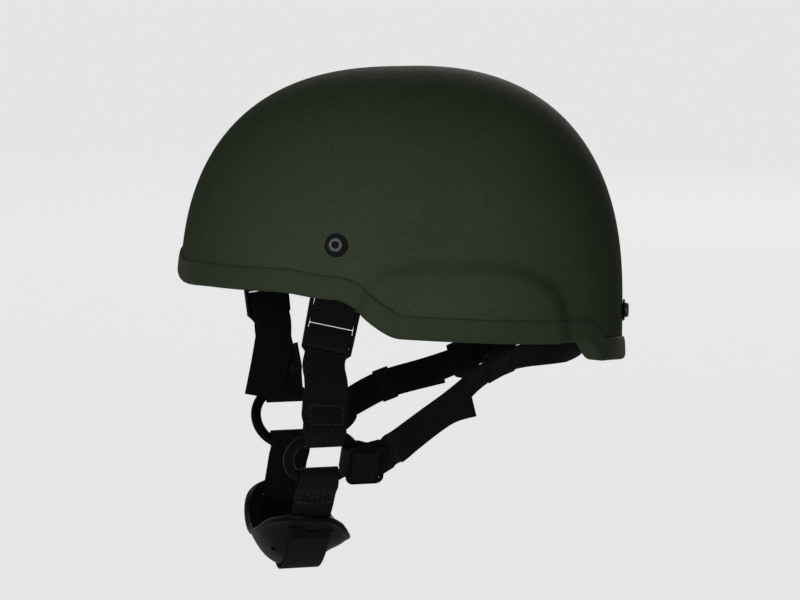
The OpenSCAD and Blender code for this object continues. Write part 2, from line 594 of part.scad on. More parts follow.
module chin_cup() {
  outer = [for (u = cup_shares) [for (a = cup_cols) cup_pt(a, u)]];
  lip = [for (b = lip_turns) [for (a = cup_cols) let (o = cup_out(a, 1))
    cup_pt(a, 1) - o * cup_t / 2 + cup_lip_r * (cos(b) * o + sin(b) * cup_up(a, 1))]];
  inner = [for (i = [len(cup_shares) - 1:-1:0]) [for (a = cup_cols)
    cup_pt(a, cup_shares[i]) - cup_t * cup_out(a, cup_shares[i])]];
  color(black) seated() difference() {
    skin(concat(outer, lip, inner), [0, cup_y, cup_bottom_z], [0, cup_y, cup_bottom_z + cup_t]);
    for (v = [-1, 1]) translate([v * cup_slot_x, cup_y, cup_pt(0, cup_slot_x / cup_half_w).z + 1.6])
      cube([2 * web_t, web_w + 4 * web_gap, 13], center = true);
    for (v = vents) translate(cup_pt(v[0], v[1])) rotate([0, 0, atan2(cup_out(v[0], v[1]).y,
      cup_out(v[0], v[1]).x)]) rotate([0, acos(cup_out(v[0], v[1]).z), 0])
      cylinder(h = 5 * cup_t, r = vent_r, center = true, $fn = 16);
  }
}

// Chin strap: from a sewn end round the bottom of a ring, down through the cup's slot and under the cup
function under_cup(u) = let (q = cup_pt(0, u),
  s = cup_wing_n * (cup_depth + cup_wing_rise) * pow(u, cup_wing_n - 1) / cup_half_w)
  station(q + unit([s, 0, -1]) * (web_t / 2 + lie_gap), back, web_w);
slot_in = [cup_slot_x + 0.3, cup_y, cup_pt(0, 1).z + 0.5];
function low_frame(k) = let (o = at(ring_frame(k), ring_r - 3, 0), d = unit(slot_in - o),
  out = unit(cross(d, back))) [o, d, out, cross(out, d)];
function chin_half(k) = let (g = ring_frame(k), l = low_frame(k), p = pass_at(ring_web_w), r = ring_wrap,
  z = cup_pt(0, cup_slot_x / cup_half_w).z)
  [web_at(l, 17, -0.9), web_at(l, 9, -1.1), web_at(g, ring_r - 1, -r), in_ring(g, p + 3, -r),
  in_ring(g, p + 0.3 * r, -0.7 * r), in_ring(g, p, 0), in_ring(g, p + 0.3 * r, 0.7 * r), in_ring(g, p + 3, r),
  web_at(g, ring_r - 1, r), web_at(l, 9, 1.1), web_at(l, 18, 0.8), station(slot_in, back, web_w),
  station([cup_slot_x + 0.1, cup_y, z + 2.8], back, web_w),
  station([cup_slot_x - 0.3, cup_y, z - 2.2], back, web_w),
  under_cup(0.78), under_cup(0.6), under_cup(0.4), under_cup(0.2)];
function flip(s) = [-s[0], s[1], s[2], -s[3], s[4], s[5], s[6]];
module chin_strap() {
  right = chin_half(1);
  m = len(right) - 1;
  color(cloth) seated() strap(concat(chin_half(0), [under_cup(0)], [for (i = [m:-1:0]) flip(right[i])]));
}

// Pads and hook discs follow the inside of the dome: a middle by angle and share, a point of the outline
pad_depth = shell_t + pad_stand;
function lay(c, q) = let (n = dome_n(c[0])) c[1] == 0 ? [atan2(q.x, q.y), norm(q) / dome_arc]
  : [c[0] + q.x / (plan_r(c[0]) * pow(sin(90 * c[1]), 2 / n)) * 180 / PI, c[1] + q.y / dome_arc];
function laid(c, q, depth) = let (m = lay(c, q)) dome(m[0], m[1]) - depth * dome_normal(m[0], m[1]);
// Rounded outline: half width, half height, exponent and how much wider the bottom is
function outline(w, h, n, wider, a) = let (y = h * sign(sin(a)) * pow(abs(sin(a)), 2 / n))
  [w * sign(cos(a)) * pow(abs(cos(a)), 2 / n) * (1 + wider * y / h), y];
pad_rows = [[0.86, 0], [0.97, 0.12], [1, 0.36], [0.985, 0.64], [0.91, 0.86], [0.74, 0.97], [0.4, 0.998]];
disc_rows = [[0.6, 0], [1, 0], [1, 1], [0.6, 1]];
module laid_form(c, w, h, n, wider, depth, t, rows, sides) {
  turns = [for (i = [0:sides - 1]) 360 * (i + 0.5) / sides];
  skin([for (r = rows) [for (a = turns) laid(c, r[0] * outline(w, h, n, wider, -a), depth + r[1] * t)]],
    laid(c, [0, 0.01], depth), laid(c, [0, 0.01], depth + t));
}
module pad(c, w, h, n = 4, wider = 0) {
  color(cloth) seated() laid_form(c, w / 2, h / 2, n, wider, pad_depth, pad_t, pad_rows, 20);
}
pad_c = [[180, 0], [0, 0.725], [180, 0.825], [38, 0.605], [-38, 0.605], [98, 0.69], [-98, 0.69]];
module crown_pad() { pad(pad_c[0], crown_pad_d, crown_pad_d, 2); }
module front_pad() { pad(pad_c[1], end_pad_w, end_pad_h, 4, 0.08); }
module rear_pad() { pad(pad_c[2], end_pad_w, end_pad_h, 4, 0.08); }
module left_front_pad() { pad(pad_c[3], side_pad_w, side_pad_l); }
module right_front_pad() { pad(pad_c[4], side_pad_w, side_pad_l); }
module left_rear_pad() { pad(pad_c[5], side_pad_w, side_pad_l); }
module right_rear_pad() { pad(pad_c[6], side_pad_w, side_pad_l); }
module hook_discs() {
  color(cloth) seated() for (c = pad_c)
    laid_form(c, disc_d / 2, disc_d / 2, 2, 0, shell_t + disc_gap, disc_t, disc_rows, 12);
}

shell();
edge_trim();
left_side_screw();
right_side_screw();
rear_screws();
screw_washers();
side_post_nuts();
rear_post_nuts();
left_hanger();
right_hanger();
left_adjuster();
right_adjuster();
left_front_strap();
right_front_strap();
left_ring();
right_ring();
left_slider();
right_slider();
strap_keeper();
left_rear_strap();
right_rear_strap();
nape_strap();
chin_strap();
chin_cup();
crown_pad();
front_pad();
rear_pad();
left_front_pad();
right_front_pad();
left_rear_pad();
right_rear_pad();
hook_discs();
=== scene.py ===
"""Combat helmet: painted shell, rubber trim, fit pads and black harness, dressed over the CAD frame."""

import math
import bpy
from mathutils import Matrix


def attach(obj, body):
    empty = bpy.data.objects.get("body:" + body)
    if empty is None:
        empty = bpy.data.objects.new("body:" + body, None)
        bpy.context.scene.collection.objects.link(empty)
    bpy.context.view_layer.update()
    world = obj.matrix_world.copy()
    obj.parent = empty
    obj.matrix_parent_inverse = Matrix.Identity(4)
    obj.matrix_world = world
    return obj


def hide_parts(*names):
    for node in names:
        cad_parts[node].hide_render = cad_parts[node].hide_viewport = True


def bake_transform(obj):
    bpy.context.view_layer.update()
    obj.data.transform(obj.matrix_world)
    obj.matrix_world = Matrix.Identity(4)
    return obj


bl_info = {
    "name": "Combat Helmet",
    "version": (1, 0, 0),
    "blender": (4, 5, 0),
    "location": "3D View > Sidebar > Helmet",
    "description": "Builds a combat helmet with its trim, pads and chin harness",
    "category": "Object",
}

import bmesh
import bpy
from mathutils import Matrix, Vector

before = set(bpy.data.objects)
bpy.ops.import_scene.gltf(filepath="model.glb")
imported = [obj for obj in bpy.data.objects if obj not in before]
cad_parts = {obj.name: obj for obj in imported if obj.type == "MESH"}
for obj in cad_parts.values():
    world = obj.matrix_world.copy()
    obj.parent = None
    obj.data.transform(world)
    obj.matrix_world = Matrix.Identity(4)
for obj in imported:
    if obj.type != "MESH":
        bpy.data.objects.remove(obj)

BODY = "shell_body"
SIDES = (("left", 0, 1), ("right", 1, -1))
BACK = Vector((0, 1, 0))

# Sizes in millimetres over the ear plane, mostly as the CAD source has them
DOME_H, FRONT_LEN, REAR_LEN, HALF_W, SHELL_T = 150.0, 142.0, 135.0, 120.0, 8.5
# Powers of the superellipses: the plan and the profiles to the front, side and rear
PLAN_N, FRONT_N, SIDE_N, REAR_N = 2.25, 2.55, 2.15, 2.5
# Length over the dome from crown to equator, and where the shell's grid turns from dome to wall
DOME_ARC, WALL_TOP, WALL_SHARE = 205.0, 60.0, 0.55
# Reach of half of a small step that gives the way out of a face
NEAR = 0.4
# Height of the rim at the brow, the front of the ear and the nape
BROW_RIM, EAR_RIM, NAPE_RIM = 27.5, 1.4, -22.6
# What the brow's rim drops in the middle, round its peak and to the temple, with angles from the brow
BROW_DROP, PEAK_DROP, PEAK_TO, TEMPLE_DROP, TEMPLE_FROM, TEMPLE_RUN = 3.5, 2.2, 22, 3.5, 42, 15
# The steps to the ear and to the nape, and the ear's slope
EAR_FROM, EAR_RUN, EAR_SLOPE = 57, 18.5, 0.18
STEP_FROM, STEP_RUN, NAPE_DROP, NAPE_FROM, NAPE_RUN = 131.8, 9, 11, 133, 45
# The pressed ear section: how far it stands out, its reach forward, back, down and up, and its soft edge
EAR_BULGE, BULGE_FRONT, BULGE_REAR, BULGE_DOWN, BULGE_UP, BULGE_EDGE = 5.0, 27, 37, 6, 50.3, 0.42
TRIM_H, TRIM_IN_H, TRIM_T, TRIM_GAP = 11.8, 10.0, 1.8, 0.55
# Webbing: widths at the front, rear, nape and sewn ends, thickness, and clearances
WEB_W, REAR_WEB_W, NAPE_WEB_W, SEWN_W = 25.0, 19.0, 17, 29.0
WEB_T, WEB_GAP, LIE_GAP, SNUG, SLIDER_FILL = 1.4, 0.35, 0.3, 1.1, 1.6
# Steps of a strap from one station to the next
STEPS = 8
# One thread: its gap to the next, its middle's height over the webbing, and half its width and height
THREAD_GAP, THREAD_LIFT, THREAD_W, THREAD_H = 0.8, 0.06, 0.36, 0.26
# A pad's thickness and the room that its hook disc takes
PAD_T, PAD_STAND = 19.0, 1.8
SEAT_Z = -(DOME_H - SHELL_T - PAD_STAND - PAD_T)
SCREW_AT, SCREW_Z = 57.3, 53.5
REAR_SCREW_AT, REAR_SCREW_Z = 160.5, -1.0
# How the hardware hangs: degrees that the adjusters roll and that they and the straps turn
ADJ_ROLL, ADJ_YAW, STRAP_YAW = (8.0, 4.0), 16.0, 3.0
RING_R, HOLE_R, RING_T, RING_LEAN = 23.5, 17.0, 4.2, 33.0
RING_WEB_W, RING_WRAP = WEB_W - 1, RING_T / 2 + WEB_GAP + WEB_T / 2
SLIDER_L, SLIDER_LEAN, SLIDER_MID, SLIDER_WRAP = 23.5, 22.0, 5.875, 2.15
CUP_HALF_W, CUP_HALF_L, CUP_DEPTH, CUP_RISE, CUP_T, CUP_LIP, CUP_N = 53.0, 30.0, 23.0, 17.0, 2.2, 2.1, 2.6
CUP_SLOT_X, VENT_R = 45.0, 1.7
VENTS = ((90, 0.58), (270, 0.62), (58, 0.66), (122, 0.66), (238, 0.74), (302, 0.74))
# Pads: angle and share of the middle, half width and height, power and taper of the outline
PADS = (("crown_pad", 180, 0, 63, 63, 2, 0), ("front_pad", 0, 0.725, 49, 30, 4, 0.08),
        ("rear_pad", 180, 0.825, 49, 30, 4, 0.08), ("left_front_pad", 38, 0.605, 25, 52, 4, 0),
        ("right_front_pad", -38, 0.605, 25, 52, 4, 0), ("left_rear_pad", 98, 0.69, 25, 52, 4, 0),
        ("right_rear_pad", -98, 0.69, 25, 52, 4, 0))


# Mathematics of the form
def smooth(x):
    """Ease from 0 to 1."""
    c = min(1.0, max(0.0, x))
    return c * c * (3 - 2 * c)


def mix(a, b, k):
    return a + (b - a) * k


def sind(a):
    return math.sin(math.radians(a))


def cosd(a):
    return math.cos(math.radians(a))


def power(c, n):
    """A cosine or sine as a superellipse of power n has it."""
    return math.copysign(abs(c) ** (2 / n), c)


def fold(t):
    """Angle from the brow, 0 to 180, on either side."""
    return abs(t - 360 * round(t / 360))


def place(p):
    """A point over the ear plane in millimetres, in the frame's metres."""
    return Vector((p[0], p[1], p[2] + SEAT_Z)) / 1000


def turned(p, turn):
    """A point or way on its own side of the helmet: turn is -1 on the right."""
    return Vector((turn * p[0], p[1], p[2]))


def plan_r(t):
    c, s = cosd(t), sind(t)
    length = FRONT_LEN if c > 0 else REAR_LEN
    return ((abs(c) / length) ** PLAN_N + (abs(s) / HALF_W) ** PLAN_N) ** (-1 / PLAN_N)


def dome_n(t):
    c = cosd(t)
    return SIDE_N + ((FRONT_N if c > 0 else REAR_N) - SIDE_N) * c * c


def ear_bulge(t, z):
    d = fold(t) - 90
    along = min(1.0, -d / BULGE_FRONT) ** 5 if d < 0 else min(1.0, d / BULGE_REAR) ** 2.5
    up = (max(0.0, z + BULGE_DOWN) / BULGE_UP) ** 3
    return EAR_BULGE * smooth((1 - along - up) / BULGE_EDGE)


def plain(t, z):
    """A point of the wall's outer face by angle and height, without the pressed ear section."""
    n = dome_n(t)
    r = plan_r(t) * ((1 - (min(z, DOME_H - 0.01) / DOME_H) ** n) ** (1 / n) if z > 0 else 1)
    return Vector((r * sind(t), -r * cosd(t), z))


def way_out(face, t, z):
    """The way out of a face that is given by angle and height."""
    return (face(t, z - NEAR) - face(t, z + NEAR)).cross(face(t + NEAR, z) - face(t - NEAR, z)).normalized()


def surf(t, z, off=0.0):
    """A point of the wall's outer face, moved out by off, with the pressed ear section."""
    return plain(t, z) + off * way_out(plain, t, z) + ear_bulge(t, z) * Vector((sind(t), -cosd(t), 0))


def rim_z(t):
    a = fold(t)
    brow = BROW_RIM - BROW_DROP * max(0.0, cosd(a)) ** 8 - PEAK_DROP * (1 - smooth(a / PEAK_TO))
    brow -= TEMPLE_DROP * smooth((a - TEMPLE_FROM) / TEMPLE_RUN)
    ear = EAR_RIM - EAR_SLOPE * (a - EAR_FROM - EAR_RUN)
    nape = NAPE_RIM - NAPE_DROP * smooth((a - NAPE_FROM) / NAPE_RUN)
    to_ear, to_nape = smooth((a - EAR_FROM) / EAR_RUN), smooth((a - STEP_FROM) / STEP_RUN)
    return brow + (ear - brow) * to_ear + (nape - ear) * to_nape


def dome(t, u):
    """A point by angle and by share of the way from crown to equator."""
    n, f = dome_n(t), math.radians(90 * min(1.0, max(u, 0.0001)))
    r = plan_r(t) * math.sin(f) ** (2 / n)
    z = -(u - 1) * DOME_ARC if u > 1 else DOME_H * max(0.0, math.cos(f)) ** (2 / n)
    return Vector((r * sind(t), -r * cosd(t), z))


def dome_normal(t, u):
    v = max(u, 0.02)
    down = dome(t, v + 0.01) - dome(t, v - 0.01)
    return down.cross(dome(t + 0.5, v) - dome(t - 0.5, v)).normalized()


def dome_spot(t0, u0, x, y):
    """Angle and share of a point x round and y down from a middle on the dome."""
    if u0 == 0:
        return math.degrees(math.atan2(x, y)), math.hypot(x, y) / DOME_ARC
    r = plan_r(t0) * sind(90 * u0) ** (2 / dome_n(t0))
    return t0 + math.degrees(x / r), u0 + y / DOME_ARC


def laid(t0, u0, x, y, depth):
    """The same point, laid under the dome at some depth."""
    spot = dome_spot(t0, u0, x, y)
    return dome(*spot) - depth * dome_normal(*spot)


def wall(t, share, off):
    """A point of the wall from the crown at share 0 to the rim at share 1."""
    if share < WALL_SHARE:
        top = math.degrees(math.acos((WALL_TOP / DOME_H) ** (dome_n(t) / 2))) / 90
        u = top * share / WALL_SHARE
        return dome(t, u) + off * dome_normal(t, u)
    return surf(t, mix(WALL_TOP, rim_z(t), (share - WALL_SHARE) / (1 - WALL_SHARE)), off)


def rim_point(t, up, off):
    """A point square up from the rim's run, on the wall moved out by off."""
    z = rim_z(t)
    run = (surf(t + 3, rim_z(t + 3)) - surf(t - 3, rim_z(t - 3))).normalized()
    side = way_out(plain, t, z).cross(run)
    turn = side.dot(Vector((cosd(t), sind(t), 0))) * up / plan_r(t) * 180 / math.pi
    return surf(t + turn, z + side.z * up, off)


# Smooth curves through stations; a station is a point, the way across the strap and its width
def station(p, across, width):
    return (*p, *across, width)


def spline(stations, steps):
    out = []
    last = len(stations) - 1
    for i in range(last):
        a, b = stations[max(i - 1, 0)], stations[i]
        c, d = stations[i + 1], stations[min(i + 2, last)]
        for k in range(steps):
            t = k / steps
            out.append([0.5 * (2 * q + (r - p) * t + (2 * p - 5 * q + 4 * r - s) * t * t
                               + (3 * q - p - 3 * r + s) * t ** 3) for p, q, r, s in zip(a, b, c, d)])
    return [*out, list(stations[last])]


def strap_frames(stations, steps=STEPS):
    """Point, way across, way out and width at each step along a strap."""
    c = spline(stations, steps)
    out = []
    for k, q in enumerate(c):
        ahead, behind = Vector(c[min(k + 1, len(c) - 1)][:3]), Vector(c[max(k - 1, 0)][:3])
        along = (ahead - behind).normalized()
        w = Vector(q[3:6])
        w = (w - along * w.dot(along)).normalized()
        out.append((Vector(q[:3]), w, along.cross(w), q[6]))
    return out


# Frames of the harness: origin, down, out and back; k is 0 on the left and 1 on the right, drawn on the left
SCREW = surf(SCREW_AT, SCREW_Z)
SCREW_N = way_out(surf, SCREW_AT, SCREW_Z)
REAR_SCREW = surf(REAR_SCREW_AT, REAR_SCREW_Z)
REAR_SCREW_N = way_out(surf, REAR_SCREW_AT, REAR_SCREW_Z)
ADJ_X = SCREW.x - 14
ADJ_C = (Vector((ADJ_X, SCREW.y - 1, 0)), Vector((ADJ_X - 3.5, SCREW.y - 7.2, -4)))
RING_X, RING_Z = ADJ_X - 18, -80.5
RING_C = (Vector((RING_X, SCREW.y - 3.2, RING_Z)), Vector((RING_X, SCREW.y + 2.7, RING_Z - 2)))
CUP_Y, CUP_BOTTOM = SCREW.y - 4.8, RING_Z - 61 - CUP_DEPTH


def lean_frame(o, lean):
    return (o, Vector((-sind(lean), 0, -cosd(lean))), Vector((cosd(lean), 0, -sind(lean))), BACK)


def at(f, s, n, v=0.0):
    """A point s down, n out and v back in a frame."""
    return f[0] + s * f[1] + n * f[2] + v * f[3]


def ring_frame(k):
    return lean_frame(RING_C[k], RING_LEAN)


def ring_top(k):
    return at(ring_frame(k), -RING_R + 3, 0)


def drop_frame(k, yaw=ADJ_YAW):
    """At an adjuster's middle, down to the top of the ring."""
    down = (ring_top(k) - ADJ_C[k]).normalized()
    out = down.cross(Vector((sind(yaw), cosd(yaw), 0))).normalized()
    return (ADJ_C[k], down, out, out.cross(down))


def adj_frame(k):
    f = drop_frame(k)
    c, s = cosd(ADJ_ROLL[k]), sind(ADJ_ROLL[k])
    return (f[0], c * f[1] - s * f[3], f[2], c * f[3] + s * f[1])


def slider_frame(k):
    return lean_frame(at(ring_frame(k), 0, 8.4, 26), SLIDER_LEAN)


def frame_matrix(f, p, turn):
    """Takes a shape's x, y and z to a frame's down, back and out, at a point and on its own side."""
    m = Matrix.Diagonal((turn, 1, 1, 1)) @ Matrix((f[1], f[3], f[2])).transposed().to_4x4()
    m.translation = place(turned(p, turn))
    return m


# Routes of the straps: each number is a place that the webbing really passes, in millimetres
def web_at(f, s, n, width=WEB_W, v=0.0):
    return station(at(f, s, n, v), f[3], width)


def snug(f, s, n):
    """Webbing that fills an adjuster between its sides."""
    return web_at(f, s, n, WEB_W + SNUG)


def round_bar(f, edge, wrap, way):
    """Round an adjuster's bar from inside to outside: below its edge with way 1, above it with way -1."""
    return [snug(f, edge + way * s * wrap, n * wrap)
            for s, n in ((0, -1), (0.7, -0.7), (1, 0), (0.7, 0.7), (0, 1))]


def pass_at(width):
    """How far from a ring's middle the webbing lies in its hole."""
    return math.sqrt(HOLE_R ** 2 - (width / 2) ** 2) - 2 * WEB_GAP - WEB_T / 2


def round_ring(g, way):
    """Through a ring's hole: under its lower side with way 1, over its upper side with way -1."""
    p, r = pass_at(RING_WEB_W), RING_WRAP
    turns = ((p + 3, -r), (p + 0.3 * r, -0.7 * r), (p, 0), (p + 0.3 * r, 0.7 * r), (p + 3, r))
    return [web_at(g, way * s, way * n, RING_WEB_W) for s, n in turns]


def tab_back(n):
    return Vector((-n.y, n.x, 0)).normalized()


def tab_stations(p, n, back, width, bend, drop):
    """The tab under a post nut, from below the screw, where it bends in by drop, to its upper end."""
    middle = p - n * (SHELL_T + 1.5 + WEB_T / 2)
    points = [middle + n.cross(tab_back(n)) * along for along in (-11.5, bend, 0, 10)]
    points[0] -= drop * n
    return [station(q, back, width) for q in points]


def hanger_stations(k):
    """From the sewn end round an adjuster's upper bar and past the rim to the side screw."""
    f, wrap = adj_frame(k), 1.5 + WEB_GAP + WEB_T / 2
    t, z = SCREW_AT - 2 * k, BROW_RIM + 3.5
    at_rim = surf(t, z) - way_out(surf, t, z) * (SHELL_T + TRIM_T + 3.4 + 1.5 * k)
    return [web_at(f, -27, -2.8), web_at(f, -22, -2.8), snug(f, -14, -wrap), *round_bar(f, -6.6, wrap, 1),
            web_at(f, -15, wrap), web_at(f, -22, 2.7),
            station(at_rim, tab_back(way_out(surf, SCREW_AT, BROW_RIM + 8)), WEB_W),
            *tab_stations(SCREW, SCREW_N, tab_back(SCREW_N), WEB_W, -8.5, 1.4 + 0.6 * k)]


def front_stations(k):
    """From the free tail round an adjuster's bars, round the ring's upper side and up to the sewn end."""
    f, d, b, g = adj_frame(k), drop_frame(k), drop_frame(k, STRAP_YAW), ring_frame(k)
    wrap, far = 2.55, (ring_top(k) - ADJ_C[k]).length
    return [web_at(b, 65, -7, v=-16 * k), web_at(b, 40, -6.4, v=-6 * k), web_at(f, 21, -5.4),
            web_at(f, 12, -4.5), snug(f, 6, -3.3), *round_bar(f, 0.45, wrap, -1), snug(f, 5.5, wrap),
            snug(f, 8.8, 1.9), snug(f, 11, 0), snug(f, 13.4, -1.9), web_at(f, 17, -wrap),
            web_at(f, 23, -2.1), web_at(d, 34, 0.6), web_at(b, far - 14, 1),
            web_at(g, -RING_R - 1.5, 2.3), web_at(g, -RING_R + 1, RING_WRAP), *round_ring(g, -1),
            web_at(g, -RING_R + 1, -RING_WRAP), web_at(b, far - 10, -1.1, SEWN_W),
            web_at(b, far - 18, -0.9, SEWN_W), web_at(b, far - 27, -0.9, SEWN_W)]


# Rear straps and their tails between slider and screw: x, y, z and lean, left and right
REAR_RUN = (((83, -21, -70, 14), (88, 3, -51, 12), (82, 26, -33.5, 26), (69, 52, -24.5, 30),
             (60, 84, -22.5, 26), (42, 105, -25, 60)),
            ((80.5, -16.5, -75.5, 14), (84, 5, -66.5, 12), (81, 31, -59, 22), (68, 54, -48, 40),
             (58, 84, -33, 56), (45, 102, -18, 76)))
TAIL_RUN = (((85, -21, -70.5, 14), (90.2, 3, -52, 12), (92, 20, -46.5, 10)),
            ((82.5, -16.5, -76, 14), (86.2, 5, -67, 12), (86.5, 44, -58.5, 10)))


def across(lean):
    return Vector((sind(lean), 0, cosd(lean)))


def run_stations(run):
    return [station(q[:3], across(q[3]), REAR_WEB_W) for q in run]


def rear_stations(k):
    """From the tail through a slider, round the ring's rear side, behind the slider and to the screw."""
    g, f, p, m = ring_frame(k), slider_frame(k), pass_at(REAR_WEB_W), SLIDER_MID
    w, half = SLIDER_WRAP, SLIDER_L / 2

    def slid(fr, v, out, s=0.0):
        fill = SLIDER_FILL if fr is f and abs(v) < 13 else 0
        return station(at(fr, s, out, v), -fr[1], REAR_WEB_W + fill)

    return [*run_stations(reversed(TAIL_RUN[k])),
            slid(f, half + 4, -w - 0.6, -7), slid(f, half, -w - 0.5, -2.8), slid(f, m + 2.7, -0.88 * w),
            slid(f, m, 0), slid(f, m - 2.7, 0.88 * w), slid(f, 0, w), slid(f, 2.7 - m, 0.88 * w),
            slid(f, -m, 0), slid(f, -m - 2.7, -0.88 * w), slid(f, -half + 0.8, -w - 1.4),
            slid(g, p + 0.4, 2.4), slid(g, p, 0), slid(g, p + 0.5, -2.3), slid(g, p + 3.4, -RING_WRAP),
            slid(g, RING_R - 1, -RING_WRAP), slid(f, 3.2, -7.2, -1), slid(f, 8, -5.4, -3.2),
            slid(f, 12.5, -4.3, -5.6), slid(f, 16, -4, -8), *run_stations(REAR_RUN[k]),
            *tab_stations(REAR_SCREW, REAR_SCREW_N, -tab_back(REAR_SCREW_N), REAR_WEB_W, -8.4, 2.4)]


def nape_end(k, turn):
    """The nape strap's end, wrapped round a rear strap."""
    run = spline(run_stations(REAR_RUN[k]), STEPS)
    i = 20 + 4 * k
    here, a = Vector(run[i][:3]), Vector(run[i][3:6])
    along = (Vector(run[i + 1][:3]) - Vector(run[i - 1][:3])).normalized()
    w = (a - along * a.dot(along)).normalized()
    n, off, edge = along.cross(w), WEB_T + 1.6, REAR_WEB_W / 2
    wrap = ((-7, off), (0, off), (edge - 1, off), (edge + off * 0.75, off * 0.7), (edge + off, 0),
            (edge + off * 0.75, -off * 0.7), (edge - 1, -off), (0, -off), (-edge, -off))
    return [station(turned(here + v * w + h * n, turn), turned(along, turn), NAPE_WEB_W) for v, h in wrap]


def nape_stations():
    middle = ((50, 49, -38), (25, 53, -44), (0, 54.5, -48), (-24, 54.5, -50.5), (-46, 54.5, -54))
    return [*nape_end(0, 1), *[station(p, (0, 0.94, 0.34), NAPE_WEB_W) for p in middle],
            *reversed(nape_end(1, -1))]


def cup_point(a, u):
    """A point of the cup's outer face by angle from the left and share of the way out to its edge."""
    x, y = u * power(cosd(a), CUP_N), u * power(sind(a), CUP_N)
    rise = (CUP_DEPTH + CUP_RISE) * abs(x) ** 1.7 + CUP_DEPTH * abs(y) ** 3
    # The rear edge droops, the front wings lift a little and the wall flares towards its lip
    rise -= 8 * smooth((y - 0.3) / 0.7) * abs(x) + 5 * smooth((y - 0.6) / 0.4)
    rise += 2.5 * smooth(-y / 0.3) * smooth((abs(x) - 0.35) / 0.4)
    y -= 0.2 * smooth((y - 0.2) / 0.5) * (1 - smooth((u - 0.8) / 0.2))
    return Vector((x * CUP_HALF_W, CUP_Y + y * CUP_HALF_L, CUP_BOTTOM + rise))


def cup_up(a, u):
    return (cup_point(a, u + 0.01) - cup_point(a, u - 0.01)).normalized()


def cup_out(a, u):
    u = max(u, 0.05)
    return (cup_point(a + 0.5, u) - cup_point(a - 0.5, u)).cross(cup_up(a, u)).normalized()


def under_cup(u):
    s = 1.7 * (CUP_DEPTH + CUP_RISE) * u ** 0.7 / CUP_HALF_W
    p = cup_point(0, u) + Vector((s, 0, -1)).normalized() * (WEB_T / 2 + LIE_GAP)
    return station(p, BACK, WEB_W)


def chin_stations(k):
    """From the sewn end round a ring's lower side and through the cup's slot to the run under the cup."""
    g, r = ring_frame(k), RING_WRAP
    slot_in = Vector((CUP_SLOT_X + 0.3, CUP_Y, cup_point(0, 1).z + 0.5))
    o = at(g, RING_R - 3, 0)
    d = (slot_in - o).normalized()
    out = d.cross(BACK).normalized()
    lower = (o, d, out, out.cross(d))
    z = cup_point(0, CUP_SLOT_X / CUP_HALF_W).z
    return [web_at(lower, 17, -0.9), web_at(lower, 9, -1.1), web_at(g, RING_R - 1, -r), *round_ring(g, 1),
            web_at(g, RING_R - 1, r), web_at(lower, 9, 1.1), web_at(lower, 18, 0.8),
            station(slot_in, BACK, WEB_W), station((CUP_SLOT_X + 0.1, CUP_Y, z + 2.8), BACK, WEB_W),
            station((CUP_SLOT_X - 0.3, CUP_Y, z - 2.2), BACK, WEB_W),
            *[under_cup(u) for u in (0.78, 0.6, 0.4, 0.2)]]


# Making pieces
def finish_piece(bm, name, material, body, replaced=(), smooth_faces=True):
    """Store a bmesh as a piece, give it its material and tie it to the frame."""
    mesh = bpy.data.meshes.new(name)
    bm.to_mesh(mesh)
    bm.free()
    mesh.shade_smooth() if smooth_faces else mesh.shade_flat()
    obj = bpy.data.objects.new(name, mesh)
    bpy.context.scene.collection.objects.link(obj)
    mesh.materials.append(material)
    if replaced:
        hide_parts(*replaced)
    if body:
        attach(obj, body)
    return obj


def face_out(bm):
    bmesh.ops.recalc_face_normals(bm, faces=bm.faces)
    return bm


def capped(bm):
    """Close the ends of a tube."""
    bmesh.ops.holes_fill(bm, edges=[e for e in bm.edges if e.is_boundary], sides=0)
    return face_out(bm)


def bent_grid(nx, ny, point, uv=None):
    """A grid whose vertices go to point(i, j), with its edges merged where it closes."""
    bm = bmesh.new()
    bmesh.ops.create_grid(bm, x_segments=nx, y_segments=ny, size=0.5)
    layer = bm.loops.layers.uv.new("UVMap") if uv else None
    where = {v: (round((v.co.x + 0.5) * nx), round((v.co.y + 0.5) * ny)) for v in bm.verts}
    if uv:
        for face in bm.faces:
            for loop in face.loops:
                loop[layer].uv = uv(*where[loop.vert])
    for v, (i, j) in where.items():
        v.co = place(point(i, j))
    bmesh.ops.remove_doubles(bm, verts=bm.verts, dist=2e-6)
    return bm


def bent_ball(columns, rows, point):
    """A ball whose vertices go to point(row, co): row counts from its top, co is the place on the ball."""
    bm = bmesh.new()
    bmesh.ops.create_uvsphere(bm, u_segments=columns, v_segments=rows, radius=1)
    for v in bm.verts:
        row = round(math.acos(max(-1.0, min(1.0, v.co.z))) / math.pi * rows)
        v.co = place(point(row, v.co))
    return bm


# Half of webbing's section, across from -1 to 1 and out from -1 to 1, and the whole
RIBBON_EDGE = ((0.955, 1), (0.982, 0.86), (0.996, 0.5), (1, 0), (0.996, -0.5), (0.982, -0.86), (0.955, -1))
RIBBON_HALF = [*[(-0.955 + 1.91 * i / 7, 1) for i in range(1, 7)], *RIBBON_EDGE]
RIBBON = [*RIBBON_HALF, *[(-a, -b) for a, b in RIBBON_HALF]]


def ribbon(name, stations, material, body, replaced, turn=1, steps=STEPS):
    """Woven webbing: a closed strap with rounded selvedges and its own UV map in metres."""
    frames = strap_frames(stations, steps)
    run = [0.0]
    for a, b in zip(frames, frames[1:]):
        run.append(run[-1] + (b[0] - a[0]).length)
    count = len(RIBBON)

    def point(i, j):
        p, w, n, width = frames[i]
        a, b = RIBBON[j % count]
        return turned(p + w * (a * width / 2) + n * (b * WEB_T / 2), turn)

    def uv(i, j):
        return (run[i] / 1000, RIBBON[j % count][0] * frames[i][3] / 2000)

    bm = bent_grid(len(frames) - 1, count, point, uv)
    return finish_piece(capped(bm), name, material, body, replaced)


